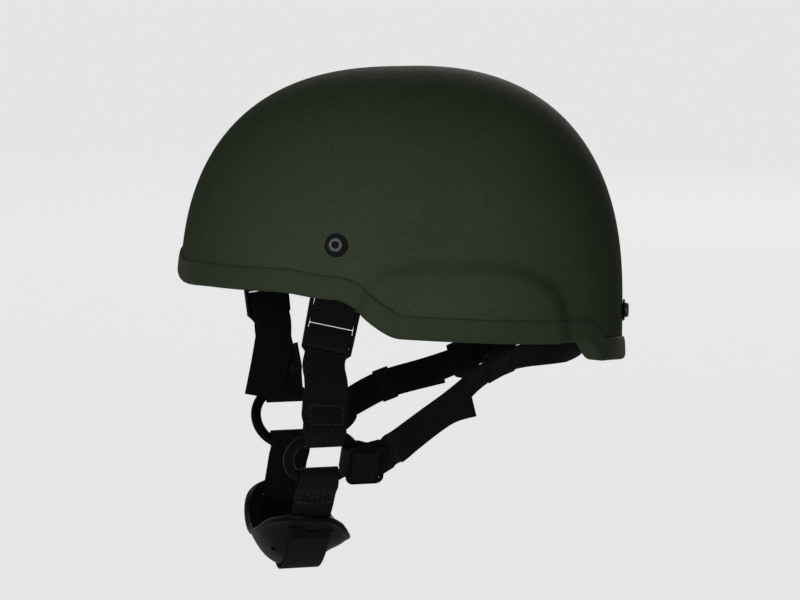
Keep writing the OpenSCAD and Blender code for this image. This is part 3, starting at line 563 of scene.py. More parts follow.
def stitched(name, lines, material, body, stitch):
    """Rows of thread: each line is a list of points with the way out, in millimetres."""
    bm = bmesh.new()
    for line in lines:
        length = sum((b[0] - a[0]).length for a, b in zip(line, line[1:]))
        count = max(1, round(length / (stitch + THREAD_GAP)))
        for i in range(count):
            goal, walked = (i + 0.5) * length / count, 0.0
            for a, b in zip(line, line[1:]):
                part = (b[0] - a[0]).length
                if walked + part >= goal:
                    k = (goal - walked) / part
                    p, n = a[0].lerp(b[0], k), a[1].lerp(b[1], k).normalized()
                    d = (b[0] - a[0]).normalized()
                    break
                walked += part
            made = bmesh.ops.create_icosphere(bm, subdivisions=1, radius=1)["verts"]
            side = n.cross(d).normalized()
            turn = Matrix((d, side, d.cross(side))).transposed().to_4x4()
            turn.translation = place(p + n * THREAD_LIFT)
            size = Matrix.Diagonal((stitch / 2000, THREAD_W / 1000, THREAD_H / 1000, 1))
            bmesh.ops.transform(bm, matrix=turn @ size, verts=made)
    return finish_piece(bm, name, material, body)


def sewn_box(frames, lo, hi, inset, turn, cross=True):
    """Outline and cross of a sewn box on a strap, from step lo to step hi."""
    def spot(k, a):
        i = min(int(k), len(frames) - 2)
        f, g, r = frames[i], frames[i + 1], k - int(k)
        p, w, n = f[0].lerp(g[0], r), f[1].lerp(g[1], r), f[2].lerp(g[2], r)
        q = p + w * (a * (f[3] / 2 - inset)) + n * (WEB_T / 2)
        return (turned(q, turn), turned(n, turn))

    def way(k0, a0, k1, a1, parts=12):
        return [spot(mix(k0, k1, i / parts), mix(a0, a1, i / parts)) for i in range(parts + 1)]

    lines = [way(lo, -1, hi, -1), way(hi, -1, hi, 1), way(hi, 1, lo, 1), way(lo, 1, lo, -1)]
    if cross:
        lines += [way(lo, -1, hi, 1), way(lo, 1, hi, -1)]
    return lines


def dressed(solid, name, material, body, bevel, segments=3, angle=30, flat=1.2):
    """A copy of a CAD solid, merged, freed of edges flatter than flat and given rounded edges."""
    bm = bmesh.new()
    bm.from_mesh(bpy.data.objects[solid].data)
    bmesh.ops.remove_doubles(bm, verts=bm.verts, dist=1e-6)
    bmesh.ops.dissolve_limit(bm, angle_limit=math.radians(flat), verts=bm.verts, edges=bm.edges)
    obj = finish_piece(bm, name, material, body, (solid,))
    m = obj.modifiers.new("Edges", "BEVEL")
    m.width = bevel / 1000
    m.segments = segments
    m.limit_method = "ANGLE"
    m.angle_limit = math.radians(angle)
    m.harden_normals = True
    m.use_clamp_overlap = True
    w = obj.modifiers.new("Normals", "WEIGHTED_NORMAL")
    w.keep_sharp = True
    return obj


def apply_modifiers(obj):
    """Keep what a piece's modifiers make as its mesh."""
    bpy.context.view_layer.update()
    done = bpy.data.meshes.new_from_object(obj.evaluated_get(bpy.context.evaluated_depsgraph_get()))
    obj.modifiers.clear()
    obj.data = done
    return done


def cut_by(obj, cutters):
    """Take cutters out of a piece and keep the result as its mesh."""
    cutter_mesh = bpy.data.meshes.new("cutter")
    cutters.to_mesh(cutter_mesh)
    cutters.free()
    tool = bpy.data.objects.new("cutter", cutter_mesh)
    bpy.context.scene.collection.objects.link(tool)
    m = obj.modifiers.new("Cut", "BOOLEAN")
    m.object = tool
    m.operation = "DIFFERENCE"
    m.solver = "EXACT"
    apply_modifiers(obj)
    bpy.data.objects.remove(tool)


# Materials
def scaled(colour, k):
    return tuple(c * k for c in colour[:3])


class Look:
    """A Principled material with the nodes that feed it."""

    def __init__(self, name, colour, roughness, specular):
        self.mat = bpy.data.materials.new(name)
        self.mat.use_nodes = True
        self.tree = self.mat.node_tree
        self.bsdf = self.tree.nodes["Principled BSDF"]
        self.colour = colour
        self.set("Base Color", (*colour[:3], 1))
        self.set("Roughness", roughness)
        self.set("Specular IOR Level", specular)

    def set(self, socket, value):
        self.bsdf.inputs[socket].default_value = value

    def feed(self, socket, value):
        self.tree.links.new(value, self.bsdf.inputs[socket])

    def space(self):
        """Each point's place in the object's own space, from one node that all textures share."""
        shared = self.tree.nodes.get("Texture Coordinate") or self.tree.nodes.new("ShaderNodeTexCoord")
        return shared.outputs["Object"]

    def noise(self, scale, detail=3.0, rough=0.55):
        tex = node(self.tree, "ShaderNodeTexNoise", Scale=scale, Detail=detail, Roughness=rough)
        self.tree.links.new(self.space(), tex.inputs["Vector"])
        return tex.outputs["Fac"]

    def ramp(self, value, *stops):
        """Greys or colours along a value."""
        made = self.tree.nodes.new("ShaderNodeValToRGB")
        self.tree.links.new(value, made.inputs["Fac"])
        band = made.color_ramp
        while len(band.elements) < len(stops):
            band.elements.new(0.5)
        for element, (pos, colour) in zip(band.elements, stops):
            element.position = pos
            element.color = (*colour[:3], 1) if hasattr(colour, "__len__") else (colour, colour, colour, 1)
        return made.outputs["Color"]

    def shades(self, value, *stops):
        """The material's own colour along a value, times a number at each stop."""
        return self.ramp(value, *[(pos, scaled(self.colour, k)) for pos, k in stops])

    def maths(self, operation, *values):
        return maths(self.tree, operation, *values)

    def mixed(self, fac, a, b, blend="MIX"):
        made = node(self.tree, "ShaderNodeMix", data_type="RGBA", blend_type=blend)
        for socket, value in ((made.inputs[0], fac), (made.inputs[6], a), (made.inputs[7], b)):
            if isinstance(value, (int, float)):
                socket.default_value = value
            elif hasattr(value, "__len__"):
                socket.default_value = (*value[:3], 1)
            else:
                self.tree.links.new(value, socket)
        return made.outputs[2]

    def patched(self, base, patch, *stops):
        """A colour made darker and lighter by patches."""
        return self.mixed(1.0, base, self.ramp(patch, *stops), "MULTIPLY")

    def bump(self, height, strength, distance):
        made = node(self.tree, "ShaderNodeBump", Strength=strength, Distance=distance)
        self.tree.links.new(height, made.inputs["Height"])
        self.feed("Normal", made.outputs["Normal"])

    def sheen(self, weight, roughness):
        self.set("Sheen Weight", weight)
        self.set("Sheen Roughness", roughness)


def node(tree, kind, **settings):
    made = tree.nodes.new(kind)
    for key, value in settings.items():
        if key in made.inputs:
            made.inputs[key].default_value = value
        else:
            setattr(made, key, value)
    return made


def maths(tree, operation, *values):
    made = node(tree, "ShaderNodeMath", operation=operation)
    for socket, value in zip(made.inputs, values):
        if isinstance(value, (int, float)):
            socket.default_value = value
        else:
            tree.links.new(value, socket)
    return made.outputs[0]


def paint_material(name, colour, grit):
    """Matte field paint with grit in it, a little darker and lighter by patches."""
    look = Look(name, colour, 0.8, 0.012)
    fine, coarse = look.noise(1300, 2.0, 0.6), look.noise(560, 4.0, 0.6)
    grains = look.shades(fine, (0.35, 0.78), (0.52, 1), (0.72, 1.32))
    base = look.patched(grains, look.noise(14), (0.3, 0.93), (0.7, 1.07))
    spots = look.maths("MULTIPLY", look.ramp(coarse, (0.66, 0.0), (0.74, 1.0)), 0.22)
    look.feed("Base Color", look.mixed(spots, base, scaled(colour, 1.9)))
    look.feed("Roughness", look.ramp(coarse, (0.3, 0.72), (0.75, 0.92)))
    height = look.maths("ADD", look.maths("MULTIPLY", fine, 0.5), look.maths("MULTIPLY", coarse, 0.5))
    look.bump(height, 0.4, 0.0004 * grit)
    return look.mat


def rubber_material(name, colour, roughness):
    """Extruded or moulded rubber with a faint skin texture and dusty patches."""
    look = Look(name, colour, roughness, 0.03)
    patch = look.noise(30, 4.0)
    look.feed("Base Color", look.shades(patch, (0.3, 0.88), (0.75, 1.14)))
    look.feed("Roughness", look.ramp(patch, (0.3, roughness - 0.08), (0.7, roughness + 0.1)))
    look.bump(look.noise(1500, 2.0), 0.25, 0.0002)
    return look.mat


def plastic_material(name, colour):
    """Moulded black plastic: satin, fine spark texture, slight scuffs."""
    look = Look(name, colour, 0.42, 0.025)
    scuff = look.noise(160, 6.0, 0.7)
    look.feed("Base Color", look.shades(scuff, (0.5, 1), (0.78, 1.7)))
    look.feed("Roughness", look.ramp(scuff, (0.35, 0.36), (0.7, 0.56)))
    look.bump(look.noise(2600, 1.0), 0.2, 0.00012)
    return look.mat


def steel_material(name, colour):
    """Black oxide steel, rubbed a little bright on its high spots."""
    look = Look(name, colour, 0.42, 0.15)
    look.set("Metallic", 0.65)
    worn = look.noise(420, 5.0, 0.65)
    look.feed("Base Color", look.shades(worn, (0.45, 1), (0.8, 3.2)))
    look.feed("Roughness", look.ramp(worn, (0.3, 0.3), (0.7, 0.5)))
    look.bump(look.noise(3000, 1.0), 0.12, 0.0001)
    return look.mat


def weave_material(name, colour, pitch=0.00205, pick=0.0024):
    """Nylon webbing: warp cords along the strap, each crossed by picks half a step from its neighbour, with
    painted shade in the weave's dips and painted highlight on its cords.
    """
    look = Look(name, colour, 0.75, 0.015)
    uv = node(look.tree, "ShaderNodeUVMap", uv_map="UVMap")
    parts = look.tree.nodes.new("ShaderNodeSeparateXYZ")
    look.tree.links.new(uv.outputs["UV"], parts.inputs[0])
    lane = look.maths("DIVIDE", parts.outputs["Y"], pitch)
    shift = look.maths("MULTIPLY", look.maths("FLOORED_MODULO", look.maths("FLOOR", lane), 2.0), 0.5)
    step = look.maths("ADD", look.maths("DIVIDE", parts.outputs["X"], pick), shift)
    cord, over = [look.maths("SINE", look.maths("MULTIPLY", look.maths("FRACT", value), math.pi))
                  for value in (lane, step)]
    height = look.maths("MULTIPLY", look.maths("POWER", cord, 0.5), look.maths("POWER", over, 0.6))
    fuzz = look.maths("MULTIPLY", look.noise(2400, 3.0, 0.7), 0.35)
    height = look.maths("ADD", height, fuzz)
    # Colour follows the weave's height: painted shade in the dips between cords, painted highlight on the
    # raised cords.
    base = look.shades(height, (0.1, 0.45), (0.65, 1), (1.0, 1.5))
    look.feed("Base Color", look.patched(base, look.noise(45), (0.3, 0.85), (0.7, 1.15)))
    look.sheen(0.02, 0.5)
    look.bump(height, 0.9, 0.0005)
    return look.mat


def cloth_material(name, colour, scale=1100, strength=0.4, sheen=0.05):
    """Brushed pad cloth: short nap, faint pilling, soft sheen."""
    look = Look(name, colour, 0.92, 0.08)
    nap = look.noise(scale, 4.0, 0.7)
    base = look.shades(nap, (0.3, 0.6), (0.55, 1), (0.8, 1.6))
    look.feed("Base Color", look.patched(base, look.noise(60, 5.0, 0.6), (0.3, 0.8), (0.75, 1.2)))
    look.sheen(sheen, 0.6)
    look.bump(nap, strength, 0.0005)
    return look.mat


def hook_material(name, colour):
    """Hook tape: small hooks in rows, with painted highlight on each hook and painted shade between them."""
    look = Look(name, colour, 0.6, 0.15)
    tex = node(look.tree, "ShaderNodeTexVoronoi", Scale=900)
    look.tree.links.new(look.space(), tex.inputs["Vector"])
    # Colour follows the hooks' height: painted highlight on the hooks, painted shade between them.
    look.feed("Base Color", look.shades(tex.outputs["Distance"], (0.1, 1.8), (0.6, 0.5)))
    look.bump(look.maths("SUBTRACT", 1.0, tex.outputs["Distance"]), 0.6, 0.0006)
    return look.mat


def kept(make, name, *args):
    """The material of this name, made the first time that it is asked for."""
    return bpy.data.materials.get(name) or make(name, *args)


def webbing(context):
    return kept(weave_material, "nylon_webbing", context.scene.helmet_harness.webbing)


def thread(context):
    return kept(cloth_material, "thread", scaled(context.scene.helmet_harness.webbing, 0.9), 2500, 0.2, 0.1)


def plastic(context):
    return kept(plastic_material, "moulded_plastic", context.scene.helmet_harness.plastic)


# Settings
def colour_prop(name, description, default):
    return bpy.props.FloatVectorProperty(name=name, description=description, default=default, size=3,
                                         min=0, max=1, subtype="COLOR")


def number_prop(name, description, default, low, high, **kind):
    return bpy.props.FloatProperty(name=name, description=description, default=default, min=low, max=high,
                                   **kind)


class HelmetShellSettings(bpy.types.PropertyGroup):
    paint: colour_prop("Paint", "Colour of the shell's paint", (0.0262, 0.0352, 0.0201))
    trim: colour_prop("Trim", "Colour of the rubber edge trim", (0.021, 0.0276, 0.0162))
    grit: number_prop("Grit", "How coarse the paint is", 1.0, 0, 3)


class HelmetHarnessSettings(bpy.types.PropertyGroup):
    webbing: colour_prop("Webbing", "Colour of the webbing", (0.0027, 0.0027, 0.003))
    plastic: colour_prop("Plastic", "Colour of rings, adjusters and sliders", (0.0014, 0.0014, 0.0015))
    steel: colour_prop("Steel", "Colour of the screws", (0.016, 0.016, 0.016))
    cup: colour_prop("Cup", "Colour of the chin cup", (0.0016, 0.0016, 0.0017))
    stitch: number_prop("Stitch", "Length of one stitch in millimetres", 2.7, 1, 5)


class HelmetPadSettings(bpy.types.PropertyGroup):
    cloth: colour_prop("Cloth", "Colour of the pads' cloth", (0.0085, 0.0086, 0.0092))
    pressure: number_prop("Pressure", "How firmly the pads are filled", 3.0, 0, 8)
    voxel: number_prop("Voxel", "Grain of the pads' mesh", 0.0045, 0.003, 0.008, subtype="DISTANCE",
                       unit="LENGTH")


class HelmetStageSettings(bpy.types.PropertyGroup):
    backdrop: number_prop("Backdrop", "Brightness of the backdrop", 0.791, 0, 1)
    lens: number_prop("Lens", "Focal length of the camera", 135.5, 35, 300, unit="CAMERA")
    distance: number_prop("Distance", "From the camera to the helmet", 1.9, 0.5, 5, subtype="DISTANCE",
                          unit="LENGTH")


# Operators, one for each piece or group of like pieces
class HELMET_OT_shell(bpy.types.Operator):
    """Pressed shell with its ear sections and stepped rim"""
    bl_idname = "helmet.shell"
    bl_label = "Shell"

    def execute(self, context):
        looks = context.scene.helmet_shell
        columns, rows = 216, 116
        half = rows // 2

        def point(row, co):
            t = math.degrees(math.atan2(co.x, -co.y)) if 0 < row < rows else 0.0
            if row <= half:
                return wall(t, row / half, 0.0)
            return wall(t, (rows - row) / (half - 1), -SHELL_T)

        paint = kept(paint_material, "grit_paint", looks.paint, looks.grit)
        finish_piece(bent_ball(columns, rows, point), "painted_shell", paint, BODY, ("shell",))
        return {"FINISHED"}


class HELMET_OT_trim(bpy.types.Operator):
    """Rubber edge trim, butted together at the nape"""
    bl_idname = "helmet.trim"
    bl_label = "Edge trim"

    def execute(self, context):
        section, turns = self.section(), 360

        def point(i, j):
            # The two ends stand a little apart and are pinched in
            end = (i == 0) - (i == turns)
            t = 180 + 360 * i / turns + 0.16 * end
            off, up = section[j % len(section)]
            if end:
                mid_off, mid_up = (-SHELL_T / 2, -1) if up < 0.5 else (off, up)
                up, off = mix(up, mid_up, 0.35), mix(off, mid_off, 0.35 * 0.3)
            return rim_point(t, up, off)

        rubber = kept(rubber_material, "trim_rubber", context.scene.helmet_shell.trim, 0.66)
        bm = capped(bent_grid(turns, len(section), point))
        finish_piece(bm, "rubber_trim", rubber, BODY, ("edge_trim",))
        return {"FINISHED"}

    def section(self):
        """Round the trim's section from the lip of its outer leg: out from the wall and up from the rim."""
        g, w, th, ih = TRIM_GAP, TRIM_T, TRIM_H, TRIM_IN_H
        lo, wi = g + w, -SHELL_T - g
        li = wi - w
        return [(g * 0.5, th - 0.3), (g * 0.5 + 0.2 * w, th), (g * 0.5 + 0.42 * w, th - 0.25),
                (g + 0.52 * w, th - 0.9), (lo - 0.62, th - 2.6), (lo - 0.4, th * 0.6),
                (lo - 0.25, th * 0.33), (lo - 0.2, 1.2), (lo - 0.3, 0), (lo - 0.68, -1.15),
                (lo - 1.35, -1.95), (lo - 2.4, -lo), (-SHELL_T / 2, -lo), (li + 2.4, -lo),
                (li + 1.35, -1.95), (li + 0.55, -1.15), (li + 0.12, 0), (li, 1.2), (li, ih * 0.5),
                (li + 0.02, ih - 2), (li + 0.12 * w, ih - 0.7), (li + 0.4 * w, ih - 0.1),
                (li + 0.75 * w, ih - 0.04), (wi, ih - 0.5), (wi, ih * 0.4), (wi, 0.4), (wi + 0.4, 0),
                (g - 0.4, 0), (g, 0.4), (g, th * 0.5)]


class HELMET_OT_screws(bpy.types.Operator):
    """Side and rear screws, their washers and post nuts"""
    bl_idname = "helmet.screws"
    bl_label = "Screws"

    def execute(self, context):
        steel = kept(steel_material, "black_oxide", context.scene.helmet_harness.steel)
        for name in ("left_side_screw", "right_side_screw", "rear_screws"):
            obj = dressed(name, name + "_head", steel, BODY, 0.45)
            # The socket's faces get dark plastic: painted shade in the recess.
            self.paint_socket_shade(obj, plastic(context))
        dressed("screw_washers", "washers", plastic(context), BODY, 0.3, 2)
        for name in ("side_post_nuts", "rear_post_nuts"):
            dressed(name, name + "_turned", steel, BODY, 0.3, 2)
        return {"FINISHED"}

    def paint_socket_shade(self, obj, shade_material, socket_r=0.0023):
        """Give the faces down in each screw's socket the dark plastic material, as painted shade in the
        recess.
        """
        obj.data.materials.append(shade_material)
        axes = [(place(turned(p, turn)), turned(n, turn))
                for p, n in ((SCREW, SCREW_N), (REAR_SCREW, REAR_SCREW_N)) for turn in (-1, 1)]
        for face in obj.data.polygons:
            corners = [obj.data.vertices[i].co for i in face.vertices]
            for p, n in axes:
                reach = [((c - p) - n * (c - p).dot(n)).length for c in corners]
                above = [(c - p).dot(n) for c in corners]
                if max(reach) < socket_r and min(above) > 0 and face.normal.dot(n) > -0.5:
                    face.material_index = 1


class HELMET_OT_hangers(bpy.types.Operator):
    """Webbing from the side screws to the adjusters"""
    bl_idname = "helmet.hangers"
    bl_label = "Hangers"

    def execute(self, context):
        for side, k, turn in SIDES:
            st = hanger_stations(k)
            web = ribbon(side + "_hanger_webbing", st, webbing(context), None, (side + "_hanger",), turn)
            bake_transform(web)
        return {"FINISHED"}


class HELMET_OT_adjusters(bpy.types.Operator):
    """Three-bar adjusters with a ribbed lower bar"""
    bl_idname = "helmet.adjusters"
    bl_label = "Adjusters"

    def execute(self, context):
        for side, k, turn in SIDES:
            body = side + "_adjuster_body"
            obj = dressed(side + "_adjuster", side + "_adjuster_frame", plastic(context), body, 0.55,
                          3, 32)
            f = adj_frame(k)
            self.shape(obj, f, turn)
            ribs = self.ribs(f, turn)
            finish_piece(ribs, side + "_adjuster_ribs", plastic(context), body)
        return {"FINISHED"}

    def shape(self, obj, f, turn):
        """Draw the frame's lower end up and in, and swell its middle."""
        for vert in obj.data.vertices:
            q = vert.co * 1000
            q = Vector((turn * q.x, q.y, q.z - SEAT_Z)) - f[0]
            s, v = q.dot(f[1]), q.dot(f[3])
            ds = -0.28 * max(0.0, s - 9)
            dv = v * (0.045 * smooth((s + 4) / 8) - 0.2 * smooth((s - 10) / 8))
            vert.co = place(turned(f[0] + q + ds * f[1] + dv * f[3], turn))

    def ribs(self, f, turn):
        bm = bmesh.new()
        for i in range(4):
            made = bmesh.ops.create_icosphere(bm, subdivisions=3, radius=1)["verts"]
            size = Matrix.Diagonal((0.0003, (9.2 - 0.5 * i) / 1000, 0.0005, 1))
            bmesh.ops.transform(bm, matrix=size, verts=made)
            bmesh.ops.transform(bm, matrix=frame_matrix(f, at(f, 14.0 + i, 1.45), turn), verts=made)
        return face_out(bm)


class HELMET_OT_front_straps(bpy.types.Operator):
    """Front straps with their tails and sewn ends"""
    bl_idname = "helmet.front_straps"
    bl_label = "Front straps"

    def execute(self, context):
        for side, k, turn in SIDES:
            st = front_stations(k)
            web = ribbon(side + "_front_webbing", st, webbing(context), None, (side + "_front_strap",), turn)
            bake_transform(web)
            frames = strap_frames(st)
            last = len(frames) - 1
            # The box on the sewn end, and the outline that shows on the strap's front
            lines = sewn_box(frames, last - 17, last - 1.2, 2.2, turn)
            lines += sewn_box(frames, 17 * STEPS - 2, 18 * STEPS - 3, 2.4, turn, False)
            stitched(side + "_front_stitching", lines, thread(context), "harness",
                     context.scene.helmet_harness.stitch)
        return {"FINISHED"}


class HELMET_OT_rings(bpy.types.Operator):
    """Flat rings that join the straps"""
    bl_idname = "helmet.rings"
    bl_label = "Rings"

    def execute(self, context):
        for side, k, turn in SIDES:
            f = ring_frame(k)
            cut, t = 1.15, RING_T / 2
            corners = [(HOLE_R + cut, t), (RING_R - cut, t), (RING_R, t - cut), (RING_R, cut - t),
                       (RING_R - cut, -t), (HOLE_R + cut, -t), (HOLE_R, cut - t), (HOLE_R, t - cut)]
            bm = bmesh.new()
            bm.faces.new([bm.verts.new((r / 1000, 0, h / 1000)) for r, h in corners])
            bmesh.ops.bevel(bm, geom=list(bm.verts), offset=0.0005, segments=3, profile=0.5, material=-1,
                            affect="VERTICES")
            rim = [*bm.verts, *bm.edges]
            bmesh.ops.delete(bm, geom=list(bm.faces), context="FACES_ONLY")
            bmesh.ops.spin(bm, geom=rim, cent=(0, 0, 0), axis=(0, 0, 1), dvec=(0, 0, 0),
                           angle=2 * math.pi, steps=96, use_merge=True)
            bmesh.ops.transform(bm, matrix=frame_matrix(f, f[0], turn), verts=bm.verts)
            bmesh.ops.remove_doubles(bm, verts=bm.verts, dist=1e-6)
            finish_piece(face_out(bm), side + "_moulded_ring", plastic(context), side + "_ring_body",
                         (side + "_ring",))
        return {"FINISHED"}


class HELMET_OT_sliders(bpy.types.Operator):
    """Sliders behind the rings"""
    bl_idname = "helmet.sliders"
    bl_label = "Sliders"

    def execute(self, context):
        for side, *_ in SIDES:
            dressed(side + "_slider", side + "_slider_frame", plastic(context), side + "_slider_body", 0.6,
                    3, 32)
        return {"FINISHED"}


class HELMET_OT_rear_straps(bpy.types.Operator):
    """Rear straps from the rings to the rear screws, with their tails"""
    bl_idname = "helmet.rear_straps"
    bl_label = "Rear straps"

    def execute(self, context):
        for side, k, turn in SIDES:
            web = ribbon(side + "_rear_webbing", rear_stations(k), webbing(context), None,
                         (side + "_rear_strap",), turn, STEPS - 1)
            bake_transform(web)
        return {"FINISHED"}


class HELMET_OT_nape(bpy.types.Operator):
    """Nape strap wrapped round both rear straps and sewn"""
    bl_idname = "helmet.nape"
    bl_label = "Nape strap"

    def execute(self, context):
        ribbon("nape_webbing", nape_stations(), webbing(context), BODY, ("nape_strap",))
        return {"FINISHED"}


class HELMET_OT_keeper(bpy.types.Operator):
    """Elastic keeper round the right rear strap and its tail"""
    bl_idname = "helmet.keeper"
    bl_label = "Strap keeper"

    def execute(self, context):
        before, a, after = REAR_RUN[1][:3]
        b = TAIL_RUN[1][1]
        mid = (Vector(a[:3]) + Vector(b[:3])) / 2
        along = (Vector(after[:3]) - Vector(before[:3])).normalized()
        up = (across(a[3]) - along * across(a[3]).dot(along)).normalized()
        out = up.cross(along)
        corner_r = 1.6
        flat_w = (REAR_WEB_W + 3 * WEB_GAP + 0.6) / 2 - corner_r
        flat_t = (b[0] - a[0] + WEB_T + 6 * WEB_GAP + 1) / 2 - corner_r
        loop = []
        for i, (cu, co) in enumerate(((1, 1), (-1, 1), (-1, -1), (1, -1))):
            for angle in (90 * (i + step / 4) for step in range(5)):
                side = up * (cu * flat_w + corner_r * cosd(angle))
                loop.append(mid + side + out * (co * flat_t + corner_r * sind(angle)))
        half = ((-5, 0.45), (-1.7, 0.5), (1.7, 0.5), (5, 0.45))
        section = (*half, *[(v, -h) for v, h in reversed(half)])

        def point(i, j):
            c = loop[i % len(loop)]
            n = c - mid
            n = (n - along * n.dot(along)).normalized()
            v, h = section[j % 8]
            return turned(c + along * v + n * h, -1)

        def uv(i, j):
            return (i * 0.002, section[j % 8][0] / 1000)

        elastic = kept(weave_material, "ribbed_elastic", scaled(context.scene.helmet_harness.webbing, 1.4),
                       0.0008, 0.0012)
        bm = face_out(bent_grid(len(loop), len(section), point, uv))
        finish_piece(bm, "elastic_keeper", elastic, "harness", ("strap_keeper",))
        return {"FINISHED"}


class HELMET_OT_chin_strap(bpy.types.Operator):
    """Chin strap: two sides and the run under the cup"""
    bl_idname = "helmet.chin_strap"
    bl_label = "Chin strap"

    def execute(self, context):
        for side, k, turn in SIDES:
            st = chin_stations(k)[:13]
            web = ribbon(side + "_chin_webbing", st, webbing(context), None, ("chin_strap",), turn)
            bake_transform(web)
            lines = sewn_box(strap_frames(st), 9 * STEPS - 2, 10 * STEPS - 1, 2.2, turn)
            stitched(side + "_chin_stitching", lines, thread(context), "harness",
                     context.scene.helmet_harness.stitch)
        left = chin_stations(0)[12:]
        right = [(-q[0], *q[1:3], -q[3], *q[4:]) for q in chin_stations(1)[12:]]
        under = [*left, under_cup(0), *reversed(right)]
        ribbon("cup_webbing", under, webbing(context), "chin_cup_body", ("chin_strap",))
        return {"FINISHED"}


class HELMET_OT_chin_cup(bpy.types.Operator):
    """Moulded chin cup with a rolled edge, slots and vents"""
    bl_idname = "helmet.chin_cup"
    bl_label = "Chin cup"

    def execute(self, context):
        cup = kept(rubber_material, "satin_cup_rubber", context.scene.helmet_harness.cup, 0.45)
        obj = finish_piece(self.form(), "moulded_chin_cup", cup, None, ())
        cut_by(obj, self.openings())
        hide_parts("chin_cup")
        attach(obj, "chin_cup_body")
        return {"FINISHED"}

    def form(self):
        """Outer face, rolled lip and inner face, from the middle of the underside to the middle inside."""
        columns, rows, outer, lip, edge = 160, 76, 32, 12, 0.965

        def point(from_top, co):
            row = rows - from_top
            a = math.degrees(math.atan2(co.y, co.x)) if 0 < row < rows else 0.0
            if row == 0:
                return cup_point(0, 0)
            if row == rows:
                return cup_point(0, 0) + Vector((0, 0, CUP_T))
            if row <= outer:
                return cup_point(a, edge * row / outer)
            if row < outer + lip:
                b = -62 + 304 * (row - outer - 0.5) / (lip - 1)
                o = cup_out(a, 1)
                return cup_point(a, 1) - o * CUP_T / 2 + CUP_LIP * (cosd(b) * o + sind(b) * cup_up(a, 1))
            u = edge * (rows - row) / (rows - outer - lip)
            return cup_point(a, u) - CUP_T * cup_out(a, u)

        return bent_ball(columns, rows, point)

    def openings(self):
        """Two slots for the strap and six vents."""
        cut = bmesh.new()
        slot_z = cup_point(0, CUP_SLOT_X / CUP_HALF_W).z + 1.6
        for side in (-1, 1):
            made = bmesh.ops.create_cube(cut, size=1)["verts"]
            size = Matrix.Diagonal((2 * WEB_T / 1000, (WEB_W + 4 * WEB_GAP) / 1000, 0.013, 1))
            m = Matrix.Translation(place((side * CUP_SLOT_X, CUP_Y, slot_z))) @ size
            bmesh.ops.transform(cut, matrix=m, verts=made)
        for a, u in VENTS:
            made = bmesh.ops.create_cone(cut, segments=24, radius1=VENT_R / 1000, radius2=VENT_R / 1000,
                                         depth=0.011, cap_ends=True)["verts"]
            turn = cup_out(a, u).to_track_quat("Z", "Y").to_matrix().to_4x4()
            bmesh.ops.transform(cut, matrix=Matrix.Translation(place(cup_point(a, u))) @ turn, verts=made)
        return cut


class HELMET_OT_hook_discs(bpy.types.Operator):
    """Hook tape discs that hold the pads"""
    bl_idname = "helmet.hook_discs"
    bl_label = "Hook discs"

    def execute(self, context):
        disc_r, thick = 16, 0.001
        bm = bmesh.new()
        for _, t0, u0, *_ in PADS:
            made = bmesh.ops.create_circle(bm, cap_ends=True, segments=48, radius=1)["verts"]
            faces = list({f for v in made for f in v.link_faces})
            inner = bmesh.ops.inset_region(bm, faces=faces, thickness=0.3)
            faces = list({f for v in made for f in v.link_faces} | set(inner["faces"]) | set(faces))
            for v in {v for f in faces if f.is_valid for v in f.verts}:
                v.co = place(laid(t0, u0, v.co.x * disc_r, v.co.y * disc_r, SHELL_T + 0.5))
            grown = bmesh.ops.extrude_face_region(bm, geom=[f for f in faces if f.is_valid])
            top = [v for v in grown["geom"] if isinstance(v, bmesh.types.BMVert)]
            middle = dome_normal(t0, max(u0, 0.02)) if u0 else Vector((0, 0, 1))
            bmesh.ops.translate(bm, verts=top, vec=-middle * thick)
        tape = kept(hook_material, "hooked_tape", (0.012, 0.012, 0.0125))
        finish_piece(face_out(bm), "hook_tape_discs", tape, BODY, ("hook_discs",), False)
        return {"FINISHED"}


